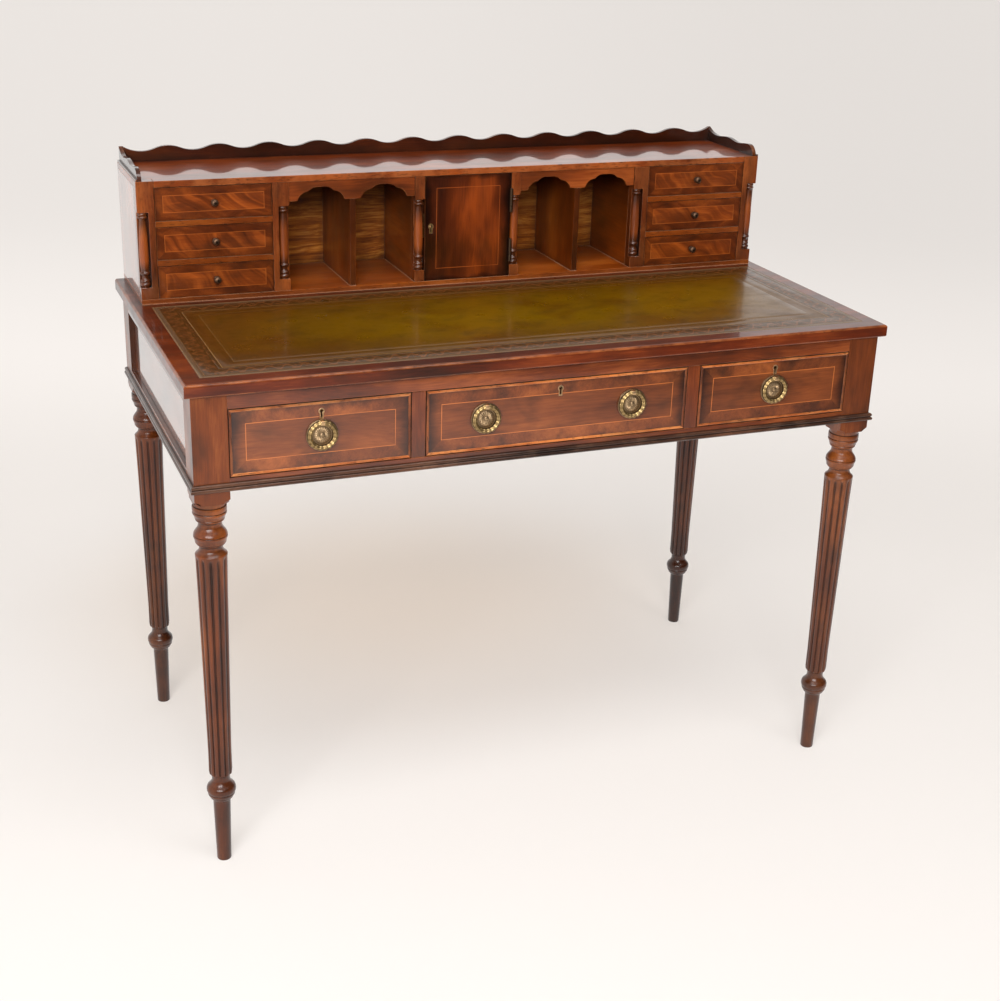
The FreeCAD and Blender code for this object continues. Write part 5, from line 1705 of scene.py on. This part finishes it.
@dataclass
class FriezeDrawer:
    """Long drawer with a veneered and strung front, cock beads, a lock and ring plates.

    Attributes:
        name: left, middle or right.
        plate_radius: radius of a ring plate.
        boss_radius: radius of its rosette.
        petals: petals of the rosette.
        beads: beads round the rosette.
        ring_radius: radius of the ring's middle line.
        veneer: how far the veneer lies behind the front of the beads.
        lining_width: the keyhole's lining is narrower than this, and higher.
    """

    name: str
    plate_radius: float = 23 * MM
    boss_radius: float = 15.2 * MM
    petals: int = 20
    beads: int = 40
    ring_radius: float = 18.4 * MM
    veneer: float = 1.2 * MM
    lining_width: float = 10 * MM

    def build(self) -> None:
        """Makes the front, the box and the brass."""
        body = f"{self.name}_drawer"
        node = f"drawer_front_{self.name}"
        solids = cad_shells(node)
        front = eased(*solids[0], 0.3 * MM).set_grain(Axis.X)
        low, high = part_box(node)
        front.set_panel((low.x, low.z - self.veneer), (high.x, high.z + self.veneer))
        beads = np.concatenate([points for points, _ in solids[1:]])
        strips = CockBead(beads.min(0), beads.max(0)).shells()
        made = Piece(node + "_veneered", Finishes.mahogany, Finishes.frieze, Finishes.worn_bead, Finishes.dark_bead)
        made = made.add(front, *strips).build()
        even_shading(made)
        settle(made, body, "veneered_front", node)
        Boards(f"drawer_box_{self.name}", Finishes.lining, 0.4 * MM, body=body, slot="drawer_lining").build()
        self.build_brass(body)
        Plain(f"lock_bolt_{self.name}", Finishes.bolt_brass).build()

    def build_brass(self, body: str) -> None:
        """Makes the plates, the nuts, the lock case and the keyhole lining.

        Args:
            body: body that they ride on.
        """
        node = f"drawer_brass_{self.name}"
        piece = Piece(node + "_cast", Finishes.plate_brass, Finishes.bolt_brass)
        for points, faces in cad_shells(node):
            size = np.ptp(points, axis=0)
            if min(size[0], size[2]) > 1.9 * self.plate_radius:
                piece.add(*self.plate(points.min(0), points.max(0)))
                continue
            shell = eased(points, faces, 0.25 * MM)
            shell.layer[:] = int(size[0] < self.lining_width < size[2])
            piece.add(shell)
        made = piece.build(50)
        even_shading(made)
        settle(made, body, "brass", node)

    def plate(self, low: np.ndarray, high: np.ndarray) -> list[Shell]:
        """Plate with a rosette, and the knuckle that holds the ring.

        Args:
            low: lowest corner of the frame's plate.
            high: its highest corner.

        Returns:
            The plate and the knuckle.
        """
        x, z = (low[0] + high[0]) / 2, low[2] + self.plate_radius
        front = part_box(f"drawer_front_{self.name}")[0].y + self.veneer
        post = high[1] - front
        boss, rim = self.boss_radius, self.plate_radius - 1.2 * MM
        rows = [(0.3 * MM, 3.0 * MM)] + [(boss * s, 3.0 * MM - 1.6 * MM * s ** 3) for s in np.linspace(0.06, 1, 22)]
        rows += [(r, 1.0 * MM) for r in np.linspace(boss + 0.6 * MM, rim - 0.5 * MM, 8)]
        rows += [(rim, 1.9 * MM), (rim + 0.4 * MM, 2.2 * MM), (rim + 0.9 * MM, 2.0 * MM)]
        rows += [(self.plate_radius, 1.0 * MM), (self.plate_radius, 0.0), (2.5 * MM, 0.0), (2.5 * MM, -post)]
        shell = turned(rows, 144)
        flat = shell.points[:, :2]
        radius = np.linalg.norm(flat, axis=1)
        angle = np.arctan2(flat[:, 1], flat[:, 0])
        relief = self.rosette(radius, angle)
        facing = shell.points[:, 2] > 0.5 * MM
        shell.points[:, 2] += np.where(facing, relief, 0.0)
        shell.crevice = np.where(facing & (radius < rim), np.clip(0.75 - relief / (0.8 * MM), 0, 1), 0.1)
        plate = shell.turned_to_front().moved(x, front, z)
        knuckle_low = (x - 3.5 * MM, low[1], z + self.ring_radius - 3.2 * MM)
        knuckle_high = (x + 3.5 * MM, front - 0.5 * MM, z + self.ring_radius + 3.2 * MM)
        knuckle = board(knuckle_low, knuckle_high, 1.4 * MM)
        knuckle.layer[:] = Layer.FACING.value
        return [plate, knuckle]

    def rosette(self, radius: np.ndarray, angle: np.ndarray) -> np.ndarray:
        """Height of the cast relief.

        Args:
            radius: distance from the middle.
            angle: angle round it.

        Returns:
            Height in metres, for each pair.
        """
        s = radius / self.boss_radius
        button = np.where(s < 0.2, 1.5 * np.sqrt(np.clip(1 - (s / 0.2) ** 2, 0, 1)), 0.0)
        button += 0.5 * np.exp(-((s - 0.52) / 0.05) ** 2)
        petal = np.clip((s - 0.22) / 0.12, 0, 1) * np.clip((0.84 - s) / 0.2, 0, 1)
        petal *= 0.35 + 0.65 * np.abs(np.cos(angle * self.petals / 2)) ** 0.7
        vein = 0.25 * np.exp(-((np.mod(angle * self.petals / (2 * math.pi), 1.0) - 0.5) / 0.06) ** 2)
        ring = np.exp(-((s - 0.93) / 0.055) ** 2) * (0.45 + 0.55 * np.abs(np.cos(angle * self.beads / 2)))
        rays = np.where((s > 1.08), 0.22 * np.abs(np.cos(angle * 24)), 0.0)
        return 0.8 * MM * (button + petal - vein * petal + ring) + rays * MM


@dataclass
class WreathRing:
    """Ring handle cast as a wreath of leaves, hung on a straight pin.

    Attributes:
        name: left, middle_left, middle_right or right.
        radius: radius of the ring's middle line.
        bar: radius of the round bar under the leaves.
        sprigs: leaves along the ring.
        opening: half the opening at the knuckle.
        pin: radius of the pin.
        drop: from the ring's middle line down to its lowest leaf.
    """

    name: str
    radius: float = 18.4 * MM
    bar: float = 2.9 * MM
    sprigs: int = 18
    opening: float = 3.9 * MM
    pin: float = 1.5 * MM
    drop: float = 3.2 * MM

    def sprig(self) -> Shell:
        """Three leaves round the bar, pointing along it, at the origin.

        Returns:
            Their shell.
        """
        points, faces = [], []
        stations = np.linspace(0, 1, 7)
        for side in (-1, 0, 1):
            first = len(points)
            for s in stations:
                spread = 2.1 * math.sin(math.pi * min(1.0, s * 0.96 + 0.04)) ** 0.8 + 0.12
                lift = 2.5 + 1.15 * math.sin(math.pi * min(1.0, s * 0.9 + 0.08))
                for across, drop in ((-1, 0.55), (0, 0.0), (1, 0.55), (0, 1.4)):
                    turn = side * 1.25 + across * spread / 3.0
                    reach = lift - drop
                    points.append((-3.7 + 7.2 * s, reach * math.sin(turn), reach * math.cos(turn)))
            last = len(points) - 4
            faces += between(len(stations), 4, first)
            faces += [tuple(range(first, first + 4)), tuple(reversed(range(last, last + 4)))]
        crevice = np.tile([0.45, 0.0, 0.45, 0.9], len(points) // 4)
        return Shell(np.array(points) * MM, faces, crevice=crevice)

    def wreath(self) -> Former:
        """Tree that strings the sprigs along the ring's bar.

        Returns:
            The tree.
        """
        gap = math.asin(self.opening / self.radius)
        tree = Former("wreath", {"Sprigs": self.sprigs, "Ring Radius": self.radius, "Bar Radius": self.bar,
                                 "Start": math.pi / 2 + gap, "Sweep": 2 * math.pi - 2 * gap, "Bar Segments": 120})
        given = tree.given
        arc = {"Radius": given["Ring Radius"], "Start Angle": given["Start"], "Sweep Angle": given["Sweep"]}
        path = tree.node("GeometryNodeCurveArc", {"Resolution": given["Bar Segments"], **arc}).outputs[0]
        section = tree.node("GeometryNodeCurvePrimitiveCircle", {"Resolution": 14, "Radius": given["Bar Radius"]})
        bar = tree.node("GeometryNodeCurveToMesh", {"Curve": path, "Profile Curve": section.outputs[0],
                                                    "Fill Caps": True}).outputs[0]
        dark = tree.node("GeometryNodeStoreNamedAttribute", {"Geometry": bar, "Name": "crevice", "Value": 0.6},
                         data_type="FLOAT", domain="POINT").outputs[0]
        thread = tree.node("GeometryNodeResampleCurve", {"Curve": path, "Count": given["Sprigs"]}).outputs[0]
        spots = tree.node("GeometryNodeCurveToPoints", {"Curve": thread}, mode="EVALUATED")
        leaves = tree.node("GeometryNodeInstanceOnPoints", {"Points": spots.outputs["Points"],
                                                            "Instance": given["Geometry"]})
        tangent = tree.node("GeometryNodeInputTangent").outputs[0]
        line = tree.node("FunctionNodeAxesToRotation",
                         {"Primary Axis": tangent, "Secondary Axis": (0.0, 0.0, 1.0)},
                         primary_axis="X", secondary_axis="Z").outputs[0]
        held = tree.node("GeometryNodeCaptureAttribute", {"Geometry": thread})
        held.capture_items.new("ROTATION", "line")
        tree.feed(held.inputs[1], line)
        tree.feed(spots.inputs["Curve"], held.outputs[0])
        tree.feed(leaves.inputs["Rotation"], held.outputs[1])
        whole = tree.node("GeometryNodeJoinGeometry")
        tree.tree.links.new(leaves.outputs[0], whole.inputs[0])
        tree.tree.links.new(dark, whole.inputs[0])
        tree.close(whole.outputs[0])
        return tree

    def build(self) -> None:
        """Makes the ring."""
        node = f"ring_{self.name}"
        low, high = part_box(node)
        piece = Piece(node + "_wreath", Finishes.brass).add(self.sprig()).build(70)
        self.wreath().bake(piece, Finishes.brass.material())
        centre = Vector(((low.x + high.x) / 2, (low.y + high.y) / 2, low.z + self.radius + self.drop))
        piece.data.transform(Matrix.Translation(centre) @ Matrix.Rotation(math.pi / 2, 4, "X"))
        self.add_pin(piece, centre + Vector((0, 0, self.radius)))
        piece.data.set_sharp_from_angle(angle=math.radians(60))
        settle(piece, f"{self.name}_ring", "brass", node)

    def add_pin(self, piece: bpy.types.Object, place: Vector) -> None:
        """Adds the pin that the ring swings on.

        Args:
            piece: the ring.
            place: middle of the pin.
        """
        work = bmesh.new()
        work.from_mesh(piece.data)
        turn = Matrix.Translation(place) @ Matrix.Rotation(math.pi / 2, 4, "Y")
        bmesh.ops.create_cone(work, cap_ends=True, segments=20, radius1=self.pin, radius2=self.pin,
                              depth=2 * self.opening + 3 * MM, matrix=turn)
        work.to_mesh(piece.data)
        work.free()


# ---------------------------------------------------------------- studio
@dataclass
class Studio:
    """Pale floor that sweeps up into a wall, soft light and the camera.

    Attributes:
        floor: colour of the floor and the wall.
        reach: distance from the middle to where the wall begins.
        sweep: radius of the sweep between floor and wall.
        height: height of the wall.
        fill: strength of the light from all round.
        key: power of the main light in watts.
        glow: brightness of the floor in polished surfaces, on its lit side.
        haze: share of even white in the paper.
        around: faces round the floor.
        lens: focal length of the camera in millimetres.
        sensor: width of its sensor.
        stand: where it stands.
        right, up: the directions to its right and upwards.
    """

    floor: Colour = shade(241, 237, 234)
    reach: float = 4.2
    sweep: float = 1.6
    height: float = 5.0
    fill: float = 0.42
    key: float = 150.0
    glow: float = 1.15
    haze: float = 0.4
    around: int = 96
    lens: float = 56.82
    sensor: float = 36.0
    stand: tuple[float, float, float] = (-0.9019, -2.2857, 1.4343)
    right: tuple[float, float, float] = (0.93091, -0.36400, 0.03011)
    up: tuple[float, float, float] = (0.11236, 0.36386, 0.92465)

    def build(self) -> None:
        """Sets up the whole studio."""
        self.build_floor()
        self.build_light()
        self.build_camera()

    def build_floor(self) -> None:
        """Makes the floor, the sweep and the wall."""
        line = [(0.02, 0.0), (1.0, 0.0), (2.5, 0.0)]
        line += [(self.reach + self.sweep * math.sin(a), self.sweep * (1 - math.cos(a)))
                 for a in np.linspace(0, math.pi / 2, 17)]
        line.append((self.reach + self.sweep, self.height))
        angles = [2 * math.pi * j / self.around for j in range(self.around)]
        points = [(r * math.cos(a), r * math.sin(a), z) for r, z in line for a in angles]
        faces = [tuple(range(self.around)), *between(len(line), self.around)]
        mesh = bpy.data.meshes.new("studio_floor")
        mesh.from_pydata(points, [], faces)
        mesh.shade_smooth()
        mesh.materials.append(self.paper())
        made = bpy.data.objects.new("studio_floor", mesh)
        bpy.context.scene.collection.objects.link(made)

    def paper(self) -> bpy.types.Material:
        """Matt pale floor with a painted warm shadow under the desk, which shows full white in polished surfaces.

        Returns:
            The material.
        """
        tree = Shader("studio_paper")
        place = tree.object_place()
        tone = tree.noise(place, (0.8, 0.8, 0.8), 2)
        colour = tree.mix(tone, self.floor, tuple(c * 0.965 for c in self.floor))
        x, y, _ = tree.parts(place)
        # painted shadow: a warm darker patch on the floor under and behind the desk
        shadow_spot = tree.joined(tree.times(x, 1.2), tree.math("MULTIPLY_ADD", y, 1.4, -0.8), 0.0)
        under = tree.node("ShaderNodeVectorMath", {0: shadow_spot}, operation="LENGTH").outputs["Value"]
        colour = tree.mix(tree.rise(under, 0.1, 1.0, 0.9, 0.0), colour, shade(236, 214, 190))
        matt = tree.node("ShaderNodeBsdfDiffuse", {"Color": colour}).outputs[0]
        lit_side = tree.rise(tree.math("MULTIPLY_ADD", y, 0.8, tree.times(x, -1.0)), -3.4, -1.7, 0.08, 1.0)
        lit = tree.times(lit_side, tree.rise(y, -3.3, -2.3, 0.06, self.glow))
        glow = tree.node("ShaderNodeEmission", {"Color": (1.0, 0.975, 0.95), "Strength": lit}).outputs[0]
        path = tree.node("ShaderNodeLightPath").outputs
        away = tree.math("MULTIPLY_ADD", y, 0.93, tree.times(x, 0.366))
        across = tree.math("MULTIPLY_ADD", y, -0.366, tree.times(x, 0.93))
        level = tree.times(tree.rise(away, 1.6, 4.6, 1.0, 0.87), tree.rise(across, -1.2, 1.8, 1.01, 0.94))
        pale = tree.node("ShaderNodeEmission", {"Color": shade(250, 244, 239), "Strength": level}).outputs[0]
        share = tree.times(path["Is Camera Ray"], tree.rise(away, 0.5, 2.2, self.haze, 0.95))
        matt = tree.node("ShaderNodeMixShader", {0: share, 1: matt, 2: pale}).outputs[0]
        seen = tree.math("MAXIMUM", path["Is Glossy Ray"], path["Is Transmission Ray"])
        mixed = tree.node("ShaderNodeMixShader", {0: seen, 1: matt, 2: glow}).outputs[0]
        tree.node("ShaderNodeOutputMaterial", {"Surface": mixed})
        return tree.material

    def build_light(self) -> None:
        """Sets the world and the lamps."""
        world = bpy.data.worlds.new("studio_world")
        world.use_nodes = True
        background = world.node_tree.nodes["Background"]
        background.inputs[0].default_value = (1.0, 0.955, 0.9, 1.0)
        background.inputs[1].default_value = self.fill
        bpy.context.scene.world = world
        self.lamp("key_light", (-1.8, -3.4, 2.4), (0.0, 0.0, 0.7), (2.8, 1.1), self.key)
        self.lamp("top_light", (-0.2, -1.7, 4.2), (0.0, 0.0, 0.5), (3.4, 1.4), self.key * 0.5)

    def lamp(self, name: str, place: Sequence[float], target: Sequence[float], size: tuple[float, float],
             power: float) -> None:
        """Adds a soft lamp, wider than it is high.

        Args:
            name: the lamp's name.
            place: where it stands.
            target: what it faces.
            size: its width and height.
            power: its power in watts.
        """
        data = bpy.data.lights.new(name, "AREA")
        data.shape = "RECTANGLE"
        data.size, data.size_y = size
        data.energy = power
        data.color = (0.985, 0.995, 1.0)
        made = bpy.data.objects.new(name, data)
        made.location = place
        made.rotation_euler = (Vector(target) - Vector(place)).to_track_quat("-Z", "Y").to_euler()
        bpy.context.scene.collection.objects.link(made)

    def build_camera(self) -> None:
        """Sets the camera."""
        data = bpy.data.cameras.new("camera")
        data.sensor_width = self.sensor
        data.sensor_fit = "HORIZONTAL"
        data.lens = self.lens
        made = bpy.data.objects.new("camera", data)
        right, up = Vector(self.right), Vector(self.up)
        turn = Matrix((right, up, right.cross(up))).transposed().to_4x4()
        made.matrix_world = Matrix.Translation(self.stand) @ turn
        bpy.context.scene.collection.objects.link(made)
        bpy.context.scene.camera = made


# ---------------------------------------------------------------- the desk
@dataclass
class Desk:
    """The whole desk, built class by class.

    Attributes:
        drawers: names of the frieze drawers.
        rings: names of the ring handles.
    """

    drawers: tuple[str, ...] = ("left", "middle", "right")
    rings: tuple[str, ...] = ("left", "middle_left", "middle_right", "right")

    def stand(self) -> None:
        """Legs, rails, panels, top and leather."""
        # each leg's darkening is painted shade, more on the right front leg and on the back legs
        for place, darkening in (("front_left", 0.0), ("front_right", 0.3), ("back_left", 0.38), ("back_right", 0.38)):
            ReededLeg(f"leg_{place}", darkening).build()
        Boards("side_rails", Finishes.mahogany, 0.8 * MM, ledge_shade=0.75).build()
        SidePanels("side_panels", Finishes.side, 0.8 * MM).build()
        for node in ("front_top_rail", "front_bottom_rail", "drawer_uprights"):
            Boards(node, Finishes.mahogany).build()
        Boards("frieze_back", Finishes.inner).build()
        Boards("bead_moulding", Finishes.bead, 0.4 * MM).build()
        Boards("desk_top", Finishes.top, 0.8 * MM, Axis.X).build()
        Skiver().build()
        Plain("drawer_runners", Finishes.plain).build()
        Plain("glue_blocks", Finishes.blocks).build()

    def cabinet(self) -> None:
        """Boards, posts, columns, gallery and door of the cabinet."""
        Boards("cabinet_sides", Finishes.cabinet_side, 0.8 * MM).build()
        for node in ("corner_posts", "inner_posts"):
            Boards(node, Finishes.mahogany, 0.8 * MM, rubbed_front=0.35).build()
        Boards("valances", Finishes.valance, 0.8 * MM).build()
        Boards("cabinet_top", Finishes.cabinet_top, 0.8 * MM, rubbed_front=0.65).build()
        for node in ("gallery_back", "gallery_sides"):
            Boards(node, Finishes.gallery, 0.6 * MM).build()
        Boards("cabinet_bottom", Finishes.pigeonhole_floor, 0.6 * MM, rubbed_front=0.5, dark_front=0.6).build()
        Boards("dust_boards", Finishes.inner, 0.6 * MM, rubbed_front=0.55, dark_front=0.2).build()
        Boards("partitions", Finishes.inner, 0.6 * MM, Axis.Y, top_shade=1.0).build()
        Boards("pigeonhole_dividers", Finishes.inner, 0.6 * MM, Axis.Z, top_shade=0.95, dark_front=0.9).build()
        Boards("cabinet_back", Finishes.back_board, 0.6 * MM, top_shade=1.0).build()
        Colonettes().build()
        CupboardDoor().build()

    def moving(self) -> None:
        """Drawers and handles."""
        for name in self.drawers:
            FriezeDrawer(name).build()
        for name in self.rings:
            WreathRing(name).build()
        for side in ("left", "right"):
            for row in (1, 2, 3):
                SmallDrawer(side, row).build()


def main() -> None:
    """Builds the desk and the studio."""
    logging.basicConfig(level=logging.INFO, format="%(name)s %(message)s")
    desk = Desk()
    desk.stand()
    desk.cabinet()
    desk.moving()
    Studio().build()
    bpy.context.scene.view_settings.view_transform = "Standard"


if __name__ == "__main__":
    main()
